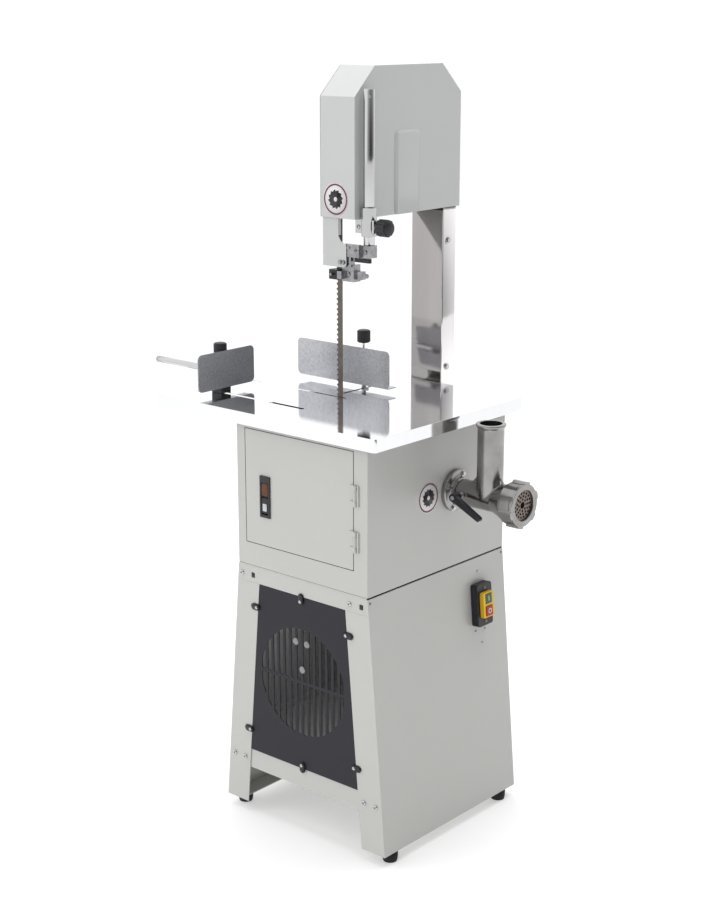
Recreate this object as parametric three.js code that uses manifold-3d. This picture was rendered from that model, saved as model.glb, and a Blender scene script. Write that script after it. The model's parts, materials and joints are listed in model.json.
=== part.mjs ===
// Floor-standing butcher's band saw with a meat grinder on its side.
// Millimetres. +Z is up, -Y is the front with the cabinet door, +X is the grinder side and -X is where the
// operator feeds the table. While it is built, x = 0 and y = 0 are the cabinet's centre and the feet end at
// FOOT.bottom. The last lines move the whole group, so that the origin is the bottom centre of its box.
import * as THREE from "three";
import { mergeVertices } from "three/addons/utils/BufferGeometryUtils.js";
import Module from "manifold-3d";

const wasm = await Module();
wasm.setup();

// ---------------------------------------------------------------- driving dimensions
const SHEET = 2;            // folded sheet steel
const GAP = 0.3;            // between pieces that rest on each other
const CAB = { x: 167, y: 209, bottom: 540, top: 847.6 };
const STAND = { bottom: 28, flare: 44, flange: 58, webTop: 537, railTop: 537.4, railBottom: 106 };
const PANEL = { top: 505, bottom: 147.5, ringZ: 329, ringR: 110, slots: 14, pitch: 15.8, slotW: 9.4, bar: 7 };
const SHELF = { z: 168, thick: 3, y0: -176, y1: 204 };
const FOOT = { x: 195, y: 174, r: 15.8, bottom: 5 };
const DOOR = { x0: -143.7, x1: 132, z0: 587.6, z1: 814.4, hingeX: 139, hingeY: -212.3 };
const HINGE = { zs: [731.8, 643.8], height: 40, knuckle: 3.1, pin: 1.5 };
const LATCH = { x0: -104.7, x1: -78, z0: 645, z1: 727.5 };
const TABLE = { x0: -377, x1: 197, y: 225, top: 850, skirt: 25 };
const HEAD = { x0: -112, x1: -24, y0: -26, y1: 298, z0: 1205, z1: 1489, zc: 1433, yc0: 32, yc1: 238 };
const COLUMN = { x0: -109, x1: -27, y0: 249, y1: 292, z0: 580, z1: 1285 };
const WHEEL = { r: 132.6, y: 125, zLow: 694, zHigh: 1344, x0: -88, x1: -70 };
const BLADE = { r: 133, thick: 0.7, x0: -86.5, x1: -70.5 };
const BLADE_Y = WHEEL.y - BLADE.r - BLADE.thick / 2;
const SHAFT = { r: 10, x0: -95, x1: 144 };
const BELT = { x: 70, width: 10, bigR: 42.3, smallR: 24.3, thick: 6.7 };
const MOTOR = { y: 60, z: 330, r: 70, x0: -110, x1: 57 };
const GEAR = { module: 2, pinion: 18, wheel: 60, x0: 130, x1: 142 };
const GRINDER = { y: WHEEL.y - (GEAR.module * (GEAR.pinion + GEAR.wheel)) / 2, z: WHEEL.zLow, tubeX: 252 };
const POST = { x: -8, y: -3, r: 11, z0: 1156.3, z1: 1448 };
const PUSHER = { x: -272, y0: -207, y1: -52, z0: 862, z1: 937, knobX: -289 };
const ROD = { y: -172, z: 906, r: 6.5, end: -426 };
const FENCE = { y: 70, x0: -264, x1: -18, z0: 860, z1: 936, knobX: -96, knobY: 84 };
const LEVER = { x: 206, z: 697, y0: -10, y1: 20.8, reach: 60, drop: 31 };
const SWITCH = { y: 120.5, z: 444, w: 47, h: 86, deep: 17 };

// ---------------------------------------------------------------- colours
const PAINT = { color: 0xcfcfca, roughness: 0.45, metalness: 0.1 };
const HEAD_PAINT = { color: 0xc6c6c4, roughness: 0.45, metalness: 0.1 };
const CHARCOAL = { color: 0x3c3a3f, roughness: 0.6, metalness: 0.0 };
const STAINLESS = { color: 0xd6d8da, roughness: 0.2, metalness: 1.0 };
const BRUSHED = { color: 0xa9abad, roughness: 0.35, metalness: 1.0 };
const CHROME = { color: 0xe2e4e6, roughness: 0.1, metalness: 1.0 };
const CAST = { color: 0xa8a6a2, roughness: 0.4, metalness: 0.9 };
const BLACK = { color: 0x1c1c1e, roughness: 0.5, metalness: 0.0 };
const RUBBER = { color: 0x141414, roughness: 0.85, metalness: 0.0 };
const BLADE_STEEL = { color: 0x6d665f, roughness: 0.45, metalness: 0.9 };
const YELLOW = { color: 0xe6c200, roughness: 0.45, metalness: 0.0 };
const GREEN = { color: 0x2f8f3e, roughness: 0.4, metalness: 0.0 };
const RED = { color: 0xb8322a, roughness: 0.4, metalness: 0.0 };
const BRONZE = { color: 0x7a5230, roughness: 0.4, metalness: 0.3 };

// ---------------------------------------------------------------- solids and booleans
function toSolid(geometry) {
  const bare = geometry.index ? geometry.toNonIndexed() : geometry.clone();
  bare.deleteAttribute("normal");
  bare.deleteAttribute("uv");
  const merged = mergeVertices(bare, 1e-4);
  const vertProperties = merged.attributes.position.array;
  const triVerts = new Uint32Array(merged.index.array);
  return new wasm.Manifold(new wasm.Mesh({ numProp: 3, vertProperties, triVerts }));
}

function toGeometry(solid) {
  const mesh = solid.getMesh();
  const geometry = new THREE.BufferGeometry();
  geometry.setAttribute("position", new THREE.BufferAttribute(mesh.vertProperties, 3));
  geometry.setIndex(new THREE.BufferAttribute(mesh.triVerts, 1));
  geometry.computeVertexNormals();
  return geometry;
}

const join = (...parts) => toGeometry(parts.map(toSolid).reduce((a, b) => a.add(b)));
const common = (a, b) => toGeometry(toSolid(a).intersect(toSolid(b)));
const cut = (part, ...tools) => toGeometry(tools.map(toSolid).reduce((a, b) => a.subtract(b), toSolid(part)));

// ---------------------------------------------------------------- basic shapes
function box(x0, x1, y0, y1, z0, z1) {
  const size = [x0 - x1, y0 - y1, z0 - z1].map(Math.abs);
  return new THREE.BoxGeometry(...size).translate((x0 + x1) / 2, (y0 + y1) / 2, (z0 + z1) / 2);
}

// The frames that an outline is drawn in: along x it holds (y, z), along y (x, z), along z (x, y).
const [alongX, alongY, alongZ] = [[1, 0, 0], [0, 1, 0], [0, 0, 1]].map((way) => new THREE.Vector3(...way));
const FRAMES = {
  x: new THREE.Matrix4().makeBasis(alongY, alongZ, alongX),
  y: new THREE.Matrix4().makeBasis(alongZ, alongX, alongY),
  z: new THREE.Matrix4(),
};

function prism(axis, outline, from, to, holes = []) {
  const swap = axis === "y";
  const points = (list) => list.map(([u, v]) => new THREE.Vector2(swap ? v : u, swap ? u : v));
  const shape = new THREE.Shape(points(outline));
  shape.holes = holes.map((hole) => new THREE.Path(points(hole)));
  const solid = new THREE.ExtrudeGeometry(shape, { depth: to - from, bevelEnabled: false });
  return solid.translate(0, 0, from).applyMatrix4(FRAMES[axis]);
}

function arc(u, v, r, from, to, steps) {
  const angle = (i) => THREE.MathUtils.degToRad(from + ((to - from) * i) / steps);
  const point = (_, i) => [u + r * Math.cos(angle(i)), v + r * Math.sin(angle(i))];
  return Array.from({ length: steps + 1 }, point);
}

const circle = (u, v, r, sides) => arc(u, v, r, 0, 360 - 360 / sides, sides - 1);
const cylinder = (axis, u, v, r, from, to, sides = 20) => prism(axis, circle(u, v, r, sides), from, to);

function roundedRectangle(u0, u1, v0, v1, r, steps = 4) {
  return [
    ...arc(u1 - r, v1 - r, r, 0, 90, steps),
    ...arc(u0 + r, v1 - r, r, 90, 180, steps),
    ...arc(u0 + r, v0 + r, r, 180, 270, steps),
    ...arc(u1 - r, v0 + r, r, 270, 360, steps),
  ];
}

// A ring or a turned body about its own axis, from a closed profile of [radius, distance along the axis].
function turned(axis, profile, sides = 24) {
  const area = profile.reduce((sum, [r, a], i) => {
    const [r2, a2] = profile[(i + 1) % profile.length];
    return sum + r * a2 - r2 * a;
  }, 0);
  const ordered = area > 0 ? profile : [...profile].reverse();
  const start = Math.max(0, ordered.findIndex(([r], i) => r === 0 && ordered.at(i - 1)[0] === 0));
  const ring = [...ordered.slice(start), ...ordered.slice(0, start)];
  const closed = ring[0][0] === 0 ? ring : [...ring, ring[0]];
  const solid = new THREE.LatheGeometry(closed.map(([r, a]) => new THREE.Vector2(r, a)), sides);
  if (axis === "z") solid.rotateX(Math.PI / 2);
  if (axis === "x") solid.rotateZ(-Math.PI / 2);
  return toGeometry(toSolid(solid));
}

// The belt or band outline round two circles, as two arcs joined by their outer tangents, in (y, z).
function wrap(y1, z1, r1, y2, z2, r2, steps) {
  const along = THREE.MathUtils.radToDeg(Math.atan2(z2 - z1, y2 - y1));
  const lean = THREE.MathUtils.radToDeg(Math.acos((r1 - r2) / Math.hypot(y2 - y1, z2 - z1)));
  return [
    ...arc(y1, z1, r1, along + lean, along + 360 - lean, steps),
    ...arc(y2, z2, r2, along - lean, along + lean, steps),
  ];
}

function gearOutline(y, z, teeth, module, offset) {
  const r = (teeth * module) / 2;
  const pitch = (2 * Math.PI) / teeth;
  const [root, tip] = [r - 1.2 * module, r + 0.9 * module];
  const corners = [[root, -0.27], [tip, -0.13], [tip, 0.13], [root, 0.27]];
  return Array.from({ length: teeth }, (_, i) => i).flatMap((i) =>
    corners.map(([radius, part]) => {
      const angle = (i + offset + part) * pitch;
      return [y + radius * Math.cos(angle), z + radius * Math.sin(angle)];
    }),
  );
}

const saw = new THREE.Group();

function add(name, geometry, look, parent = saw) {
  const mesh = new THREE.Mesh(geometry, new THREE.MeshStandardMaterial(look));
  mesh.name = name;
  parent.add(mesh);
  return mesh;
}

// ---------------------------------------------------------------- stand
const standHalf = (z) => CAB.x + (STAND.flare * (CAB.bottom - z)) / (CAB.bottom - STAND.bottom);

function standSide(side) {
  const seat = CAB.bottom - GAP;
  const strip = (width, top) => [
    [side * standHalf(top), top],
    [side * (standHalf(top) - width), top],
    [side * (CAB.x + STAND.flare - width), STAND.bottom],
    [side * (CAB.x + STAND.flare), STAND.bottom],
  ];
  return join(
    prism("y", strip(SHEET, STAND.webTop), -CAB.y, CAB.y),
    prism("y", strip(STAND.flange, PANEL.top), -CAB.y, -CAB.y + SHEET),
    prism("y", strip(STAND.flange, STAND.webTop), CAB.y - SHEET, CAB.y),
    box(side * 170, side * 209.8, -CAB.y + 1, CAB.y - 1, STAND.bottom, STAND.bottom + SHEET),
    box(side * 130, side * 164, -CAB.y + 5, CAB.y - 1, seat - SHEET, seat),
    box(side * 162, side * 166, -CAB.y + 5, CAB.y - 1, STAND.webTop - 3, seat),
  );
}

// The top rail lies flush with the legs' flanges, between the two side webs.
function topRail() {
  const half = CAB.x - SHEET - GAP;
  const front = box(-half, half, -CAB.y, -CAB.y + SHEET, PANEL.top + GAP, CAB.bottom - GAP);
  const behind = box(-120, 120, -CAB.y + 1, -CAB.y + 30, CAB.bottom - GAP - SHEET, CAB.bottom - GAP);
  const holes = [-128, 152].map((x) => box(x - 3.5, x + 3.5, -CAB.y - 1, -CAB.y + 3, 516.5, 523.5));
  return cut(join(front, behind), ...holes);
}

// The bottom rail lies behind the flanges.
function bottomRail() {
  const [half, y, z0, z1] = [190, -CAB.y + SHEET + GAP, STAND.railBottom, 158];
  return join(box(-half, half, y, y + SHEET, z0, z1), box(-half, half, y, y + 27, z0, z0 + SHEET));
}

function grillePanel() {
  const inner = (z) => standHalf(z) - STAND.flange - 0.5;
  const outline = [
    [-inner(PANEL.bottom), PANEL.bottom],
    [inner(PANEL.bottom), PANEL.bottom],
    [inner(PANEL.top), PANEL.top - GAP],
    [-inner(PANEL.top), PANEL.top - GAP],
  ];
  const { ringZ, ringR, pitch, slotW } = PANEL;
  const slots = Array.from({ length: PANEL.slots }, (_, i) => {
    const x = (i - (PANEL.slots - 1) / 2) * pitch;
    return box(x - slotW / 2, x + slotW / 2, -CAB.y - 1, -CAB.y + 5, ringZ - ringR, ringZ + ringR);
  });
  const bar = box(-ringR, ringR, -CAB.y - 2, -CAB.y + 6, ringZ - PANEL.bar / 2, ringZ + PANEL.bar / 2);
  const disc = cylinder("y", 0, ringZ, ringR, -CAB.y - 1, -CAB.y + 5, 40);
  const openings = common(cut(join(...slots), bar), disc);
  return cut(prism("y", outline, -CAB.y + 0.1, -CAB.y + SHEET), openings);
}

function backPanel() {
  const half = (z) => standHalf(z) - 6;
  const outline = [
    [-half(STAND.railBottom), STAND.railBottom],
    [half(STAND.railBottom), STAND.railBottom],
    [half(STAND.railTop), STAND.railTop],
    [-half(STAND.railTop), STAND.railTop],
  ];
  const inside = CAB.y - SHEET - GAP;
  return prism("y", outline, inside - SHEET, inside);
}

add("stand_side_left", standSide(-1), PAINT);
add("stand_side_right", standSide(1), PAINT);
add("stand_rail_top", topRail(), PAINT);
add("stand_rail_bottom", bottomRail(), PAINT);
add("stand_back_panel", backPanel(), PAINT);
add("grille_panel", grillePanel(), CHARCOAL);

function motorShelf() {
  const half = standHalf(SHELF.z) - SHEET - 0.8;
  const { z, thick, y0, y1 } = SHELF;
  return join(
    box(-half, half, y0, y1, z - thick, z),
    box(-half, -half + thick, y0, y1, z - thick, z + 16).translate(2, 0, 0),
    box(half - thick, half, y0, y1, z - thick, z + 16).translate(-2, 0, 0),
  );
}

add("motor_shelf", motorShelf(), PAINT);

const footTop = STAND.bottom - GAP - FOOT.bottom;
const footSide = [[FOOT.r - 3, 0], [FOOT.r - 1, 2], [FOOT.r, footTop - 4], [FOOT.r, footTop]];
const footProfile = [[0, 0], ...footSide, [0, footTop]];
for (const [end, y] of [["front", -FOOT.y], ["back", FOOT.y]]) {
  for (const [side, x] of [["left", -FOOT.x], ["right", FOOT.x]]) {
    add(`foot_${end}_${side}`, turned("z", footProfile, 14), RUBBER).position.set(x, y, FOOT.bottom);
  }
}

// ---------------------------------------------------------------- cabinet
function cabinetShell() {
  const inner = SHEET;
  return cut(
    box(-CAB.x, CAB.x, -CAB.y, CAB.y, CAB.bottom, CAB.top),
    box(-CAB.x + inner, CAB.x - inner, -CAB.y + inner, CAB.y - inner, CAB.bottom + inner, CAB.top - inner),
    box(-CAB.x + 15, CAB.x - 15, -CAB.y + 15, CAB.y - 15, CAB.top - 5, CAB.top + 5),
    box(DOOR.x0 - 0.6, DOOR.x1 + 0.6, -CAB.y - 5, -CAB.y + 5, DOOR.z0 - 0.6, DOOR.z1 + 0.6),
    box(-100, -56, CAB.y - 5, CAB.y + 5, 583, 805),
    box(BELT.x - 14, BELT.x + 14, 15, 190, CAB.bottom - 5, CAB.bottom + 5),
    box(-CAB.x - 5, -CAB.x + 20, -142, -118, 830, CAB.top + 5),
    cylinder("x", GRINDER.y, GRINDER.z, 24, CAB.x - 5, CAB.x + 5),
  );
}

function cabinetDoor() {
  const { x0, x1, z0, z1, hingeX, hingeY } = DOOR;
  const pan = cut(
    box(x0, x1, -CAB.y, -CAB.y + 10, z0, z1),
    box(x0 + 1.5, x1 - 1.5, -CAB.y + SHEET, -CAB.y + 11, z0 + 1.5, z1 - 1.5),
    box(LATCH.x0 + 1.7, LATCH.x1 - 1.7, -CAB.y - 1, -CAB.y + 3, LATCH.z0 + 2.5, LATCH.z1 - 2.5),
  );
  const knuckles = HINGE.zs.flatMap((z) =>
    [-1, 1].flatMap((end) => {
      const near = z + end * 10.3;
      const far = z + (end * HINGE.height) / 2;
      return [
        box(126, hingeX, hingeY, -CAB.y - GAP, near, far),
        box(126, x1 - 1, hingeY, -CAB.y + 1, near, far),
        cylinder("z", hingeX, hingeY, HINGE.knuckle, Math.min(near, far), Math.max(near, far), 12),
      ];
    }),
  );
  const bores = HINGE.zs.map((z) => cylinder("z", hingeX, hingeY, HINGE.pin + 0.3, z - 25, z + 25, 12));
  return cut(join(pan, ...knuckles), ...bores);
}

function hingeLeaf(z) {
  const { hingeX: x, hingeY: y } = DOOR;
  const half = HINGE.height / 2;
  return join(
    box(x + 3.6, x + 7.5, y + 0.6, -CAB.y - GAP, z - half, z + half),
    box(x, x + 4, y + 0.6, -CAB.y - GAP, z - 10, z + 10),
    cylinder("z", x, y, HINGE.knuckle, z - 10, z + 10, 12),
    cylinder("z", x, y, HINGE.pin, z - half, z + half, 12),
  );
}

function latchFrame() {
  const { x0, x1, z0, z1 } = LATCH;
  const y = -CAB.y - GAP;
  const flange = box(x0, x1, y - 2.7, y, z0, z1);
  const body = join(flange, box(x0 + 2.2, x1 - 2.2, y - 1, y + 17, z0 + 3, z1 - 3));
  const well = (low, high) => box(x0 + 4.7, x1 - 4.7, y - 5, y + 13, low, high);
  return cut(body, well(687, 714), well(651, 686));
}

add("cabinet_shell", cabinetShell(), PAINT);
add("cabinet_door", cabinetDoor(), PAINT);
add("door_hinge_upper", hingeLeaf(HINGE.zs[0]), PAINT);
add("door_hinge_lower", hingeLeaf(HINGE.zs[1]), PAINT);
add("latch_frame", latchFrame(), BLACK);
add("latch_button", box(LATCH.x0 + 5, LATCH.x1 - 5, -212.3, -204, 687.4, 713.6), BRONZE);
add("latch_lever", box(LATCH.x0 + 5, LATCH.x1 - 5, -211.8, -206, 653, 684.8), CHROME);

function wheelHousing() {
  const { x0, x1 } = COLUMN;
  const y0 = CAB.y + GAP;
  const y1 = COLUMN.y0 - GAP;
  const tunnel = cut(box(x0, x1, y0, y1, 580, 812), box(x0 + SHEET, x1 - SHEET, y0 - 1, y1 + 1, 582, 810));
  const flanges = [[x0 - 15, x0 + 1], [x1 - 1, x1 + 15]].map((x) => box(...x, y0, y0 + SHEET, 580, 812));
  return join(tunnel, ...flanges);
}

add("wheel_housing", wheelHousing(), PAINT);

// ---------------------------------------------------------------- column and head
function column() {
  const { x0, x1, y0, y1, z0, z1 } = COLUMN;
  return cut(
    box(x0, x1, y0, y1, z0, z1),
    box(x0 + SHEET, x1 - SHEET, y0 + SHEET, y1 - SHEET, z0 - 1, z1 + 1),
    box(x0 + 4, x1 - 4, y0 - 1, y0 + 3, 630, 758),
  );
}

function headOutline(inset) {
  const { y0, y1, z0, z1, zc, yc0, yc1 } = HEAD;
  const slack = inset * 0.42;
  return [
    [y0 + inset, z0 + inset],
    [y1 - inset, z0 + inset],
    [y1 - inset, zc - slack],
    [yc1 - slack, z1 - inset],
    [yc0 + slack, z1 - inset],
    [y0 + inset, zc - slack],
  ];
}

const COVER_SEAM = HEAD.x0 + SHEET;
const EMBOSS = { y0: 98, y1: 160, z1: 1360, proud: 4 };

function headShell() {
  const { x1, y0, z0 } = HEAD;
  const bump = [[EMBOSS.y0, z0], [EMBOSS.y1, z0], [EMBOSS.y1, EMBOSS.z1], [EMBOSS.y0, EMBOSS.z1]];
  return cut(
    join(prism("x", headOutline(0), COVER_SEAM + GAP, x1), prism("x", bump, x1 - 1, x1 + EMBOSS.proud)),
    prism("x", headOutline(SHEET), HEAD.x0 - 1, x1 - SHEET),
    box(x1 - 3, x1 + EMBOSS.proud - SHEET, EMBOSS.y0 + 3, EMBOSS.y1 - 3, z0 + SHEET, EMBOSS.z1 - 3),
    box(HEAD.x0 - 1, -46, y0 + SHEET, 4, z0 - 1, z0 + 3),
    box(HEAD.x0 - 1, x1 - SHEET, 246, HEAD.y1 - SHEET - 0.5, z0 - 1, z0 + 3),
    cylinder("z", -36, WHEEL.y, 9.5, z0 - 1, z0 + 3, 16),
  );
}

// A lid with an inner lip, which leaves room at the bottom, for the blade guard and for the column.
function headCover() {
  const seam = COVER_SEAM;
  const { x0, y0, y1, z0, z1 } = HEAD;
  return join(
    prism("x", headOutline(0), x0, seam),
    cut(
      prism("x", headOutline(2.6), seam - 1, seam + 8),
      prism("x", headOutline(4.1), seam - 2, seam + 9),
      box(seam, seam + 10, y0, y1, z0 - 1, z0 + 12),
      box(seam, seam + 10, y0, y0 + 12, z0 - 1, z1),
      box(seam, seam + 10, COLUMN.y0 - 12, y1, z0, COLUMN.z1 + 4),
    ),
  );
}

add("column", column(), STAINLESS);
add("head_shell", headShell(), HEAD_PAINT);
add("head_cover", headCover(), HEAD_PAINT);

// ---------------------------------------------------------------- band wheels, blade and drive
function bandWheel() {
  const w = (WHEEL.x1 - WHEEL.x0) / 2;
  const profile = [
    [10.4, -w - 4], [22, -w - 4], [22, -3], [WHEEL.r - 14, -3], [WHEEL.r - 10, -w], [WHEEL.r, -w],
    [WHEEL.r, w], [WHEEL.r - 10, w], [WHEEL.r - 14, 3], [22, 3], [22, w + 8], [10.4, w + 8],
  ];
  const holes = Array.from({ length: 5 }, (_, i) => {
    const angle = (i * 2 * Math.PI) / 5;
    return cylinder("x", 72 * Math.cos(angle), 72 * Math.sin(angle), 24, -w, w, 10);
  });
  return cut(turned("x", profile, 36), ...holes);
}

const wheelX = (WHEEL.x0 + WHEEL.x1) / 2;
add("lower_wheel", bandWheel(), CAST).position.set(wheelX, WHEEL.y, WHEEL.zLow);
add("upper_wheel", bandWheel(), CAST).position.set(wheelX, WHEEL.y, WHEEL.zHigh);

function sawBlade() {
  const loop = (r) => wrap(WHEEL.y, WHEEL.zLow, r, WHEEL.y, WHEEL.zHigh, r, 24);
  return prism("x", loop(BLADE.r + BLADE.thick), BLADE.x0, BLADE.x1, [loop(BLADE.r)]);
}

add("saw_blade", sawBlade(), BLADE_STEEL);

function pulley(beltR) {
  const groove = BELT.width / 2 + 0.4;
  const rim = beltR + BELT.thick + 1;
  const floor = beltR - GAP;
  return turned("x", [
    [10.4, -9], [rim, -9], [rim, -groove], [floor, -groove],
    [floor, groove], [rim, groove], [rim, 9], [10.4, 9],
  ]);
}

add("shaft_pulley", pulley(BELT.bigR), CAST).position.set(BELT.x, WHEEL.y, WHEEL.zLow);

function shaftHousing() {
  const { y, zLow: z } = WHEEL;
  const solid = join(
    cylinder("x", y, z, 27, -50, 40),
    box(-44, 34, y - 20, y + 20, CAB.bottom + 7, z - 10),
    box(-50, 40, y - 45, y + 45, CAB.bottom + SHEET + GAP, CAB.bottom + 10),
  );
  return cut(solid, cylinder("x", y, z, SHAFT.r + GAP, -60, 50));
}

add("shaft_housing", shaftHousing(), CAST);

function driveBelt() {
  const { x, width, bigR, smallR, thick } = BELT;
  const loop = (grow) => wrap(WHEEL.y, WHEEL.zLow, bigR + grow, MOTOR.y, MOTOR.z, smallR + grow, 16);
  return prism("x", loop(thick), x - width / 2, x + width / 2, [loop(0)]);
}

function motorBody() {
  const { y, z, r, x0, x1 } = MOTOR;
  return join(
    cylinder("x", y, z, r, x0 + 14, x1 - 12, 24),
    cylinder("x", y, z, r - 12, x0, x1, 24),
    box(x0 + 30, x1 - 30, y - 60, y - 35, SHELF.z + GAP, z - 30),
    box(x0 + 30, x1 - 30, y + 35, y + 60, SHELF.z + GAP, z - 30),
    box(-70, 20, y - 35, y + 35, z + 50, z + 95),
  );
}

function motorPulley() {
  const grooved = pulley(BELT.smallR).translate(BELT.x, MOTOR.y, MOTOR.z);
  return join(grooved, cylinder("x", MOTOR.y, MOTOR.z, 11, MOTOR.x1 + GAP, BELT.x + 16));
}

add("drive_belt", driveBelt(), RUBBER);
add("motor_body", motorBody(), CHARCOAL);
add("motor_pulley", motorPulley(), CAST);

// The pinion is cut on the end of the shaft.
function driveShaft() {
  const teeth = gearOutline(WHEEL.y, WHEEL.zLow, GEAR.pinion, GEAR.module, 0);
  const bar = cylinder("x", WHEEL.y, WHEEL.zLow, SHAFT.r, SHAFT.x0, SHAFT.x1);
  return join(bar, prism("x", teeth, GEAR.x0 - 2, GEAR.x1 + 1));
}

function grinderGear() {
  const outline = gearOutline(GRINDER.y, GRINDER.z, GEAR.wheel, GEAR.module, 0.5);
  return join(
    prism("x", outline, GEAR.x0, GEAR.x1),
    cylinder("x", GRINDER.y, GRINDER.z, 20, GEAR.x0 - 6, GEAR.x1 + 10),
    cylinder("x", GRINDER.y, GRINDER.z, 12, GEAR.x1, 177.6),
  );
}

add("drive_shaft", driveShaft(), BRUSHED);
add("grinder_gear", grinderGear(), CAST);

function tensionCarriage() {
  const solid = join(
    box(-48, -27, WHEEL.y - 22, WHEEL.y + 22, WHEEL.zHigh - 24, WHEEL.zHigh + 24),
    cylinder("x", WHEEL.y, WHEEL.zHigh, SHAFT.r, -96, -47),
  );
  return cut(solid, cylinder("z", -36, WHEEL.y, 5.5, WHEEL.zHigh - 40, WHEEL.zHigh + 40, 16));
}

function tensionScrew() {
  const thread = cylinder("z", -36, WHEEL.y, 5, 1210, WHEEL.zHigh + 20, 16);
  return join(thread, cylinder("z", -36, WHEEL.y, 8.5, 1208, 1217, 6));
}

add("tension_carriage", tensionCarriage(), CAST);
add("tension_screw", tensionScrew(), BRUSHED);

// ---------------------------------------------------------------- table, pusher and fence
const pusherY = (PUSHER.y0 + PUSHER.y1) / 2;

function tableTop() {
  const { x0, x1, y, top, skirt } = TABLE;
  const inside = roundedRectangle(x0 + SHEET, x1 - SHEET, -y + SHEET, y - SHEET, 4);
  const pan = cut(
    prism("z", roundedRectangle(x0, x1, -y, y, 6), top - skirt, top),
    prism("z", inside, top - skirt - 1, top - SHEET),
  );
  return cut(
    pan,
    box(x0 - 1, -62, BLADE_Y - 3, BLADE_Y + 3, top - skirt - 1, top + 1),
    prism("z", roundedRectangle(-352, -62, -134.5, -125.5, 4.4), top - 5, top + 1),
    prism("z", roundedRectangle(-99, -93, 20, 132, 2.9), top - 5, top + 1),
  );
}

function lowerBladeGuide() {
  const block = box(-88, -50, BLADE_Y - 14, BLADE_Y + 14, 822, TABLE.top - SHEET - GAP);
  return cut(block, box(-89, -69.5, BLADE_Y - 1.2, BLADE_Y + 1.2, 820, TABLE.top));
}

function pusherPlate() {
  const { x, y0, y1, z0, z1 } = PUSHER;
  return join(
    prism("x", roundedRectangle(y0, y1, z0, z1, 10), x - SHEET, x),
    box(x - 16, x, y0 + 12, pusherY - 13.5, z0, z0 + SHEET),
    box(x - 16, x, pusherY + 13.5, y1 - 12, z0, z0 + SHEET),
  );
}

function pusherBlock() {
  const { x, z1, knobX } = PUSHER;
  const back = x - SHEET - GAP;
  const block = box(x - 30, back, pusherY - 13, pusherY + 13, TABLE.top + GAP, z1 - 13);
  return cut(block, cylinder("z", knobX, pusherY, 4.4, TABLE.top - 1, z1 + 1, 16));
}

// A fluted clamp knob on a screw that passes down through the table to a nut under it.
function clampKnob(x, y, screwR, z0, z1) {
  const r = 13.5;
  const flutes = Array.from({ length: 48 }, (_, i) => {
    const angle = (i * 2 * Math.PI) / 48;
    const radius = r - (i % 4 === 0 ? 1.2 : 0);
    return [x + radius * Math.cos(angle), y + radius * Math.sin(angle)];
  });
  return join(
    prism("z", flutes, z0, z1),
    cylinder("z", x, y, screwR, 836, z0 + 1, 12),
    cylinder("z", x, y, 8, 838, 844, 6),
  );
}

function fencePlate() {
  const { y, x0, x1, z0, z1, knobX, knobY } = FENCE;
  const plate = join(
    prism("y", roundedRectangle(x0, x1, z0, z1, 10), y, y + SHEET),
    box(x0 + 12, x1 - 2, y, y + 24, z0, z0 + SHEET),
    cylinder("z", knobX, knobY, 4.5, TABLE.top + GAP, z0 + 1, 12),
    box(knobX - 4, knobX + 11, knobY - 3, knobY + 3, TABLE.top + GAP, TABLE.top + 3.5),
  );
  return cut(plate, cylinder("z", knobX, knobY, 2.9, TABLE.top - 1, z0 + 5, 12));
}

add("table_top", tableTop(), STAINLESS);
add("lower_blade_guide", lowerBladeGuide(), BLACK);
add("pusher_plate", pusherPlate(), BRUSHED);
add("pusher_block", pusherBlock(), BLACK);
add("pusher_handle", cylinder("x", ROD.y, ROD.z, ROD.r, ROD.end, PUSHER.x - SHEET - GAP, 16), CHROME);
add("pusher_knob", clampKnob(PUSHER.knobX, pusherY, 4, PUSHER.z1 - 12, PUSHER.z1 + 14), BLACK);
add("fence_plate", fencePlate(), BRUSHED);
add("fence_knob", clampKnob(FENCE.knobX, FENCE.knobY, 2.5, FENCE.z1 + 8.5, FENCE.z1 + 34.5), BLACK);

// ---------------------------------------------------------------- upper blade guide
function postClamp() {
  const { x, y, r } = POST;
  const solid = join(
    cylinder("z", x, y, 15, 1173, 1228),
    box(-38, x, y - 5, y + 5, 1178, HEAD.z0 - 1.5),
    box(x, x + 20, y - 7, y + 7, 1178, 1205),
  );
  return cut(solid, cylinder("z", x, y, r + GAP, 1170, 1230));
}

function postKnob() {
  const profile = [[0, 0], [4, 0], [4, 3], [12, 3], [15.5, 6], [16.5, 13], [16.5, 29], [14.5, 34], [0, 34]];
  return turned("x", profile, 20);
}

function guideBlock() {
  const { x, y } = POST;
  return join(
    box(x - 11, x + 11, y - 11, y + 11, 1132, 1156),
    box(-54, x - 10, -20.7, -13.5, 1132, 1157),
    box(-56, -41, -18, -6, 1112, 1134),
    box(-67, -37, -14, 6, 1083, 1116),
    box(-38, -22, -8, 4, 1088, 1104),
    box(-92, -60, BLADE_Y + 0.8, 6, 1086, 1105),
    box(-71.5, -60, -24, -12, 1088, 1103),
  );
}

const GUARD_TOP = 1425;

function bladeGuard() {
  const face = [
    [-108.5, 1111], [-108.5, GUARD_TOP], [-69, GUARD_TOP], [-69, 1170],
    ...arc(-49, 1176, 20, 197.5, 270, 5),
    [-49, 1116], [-54, 1111],
  ];
  return join(prism("y", face, -22.5, -21), box(-70.5, -69, -22, -14, 1172, GUARD_TOP));
}

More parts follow.
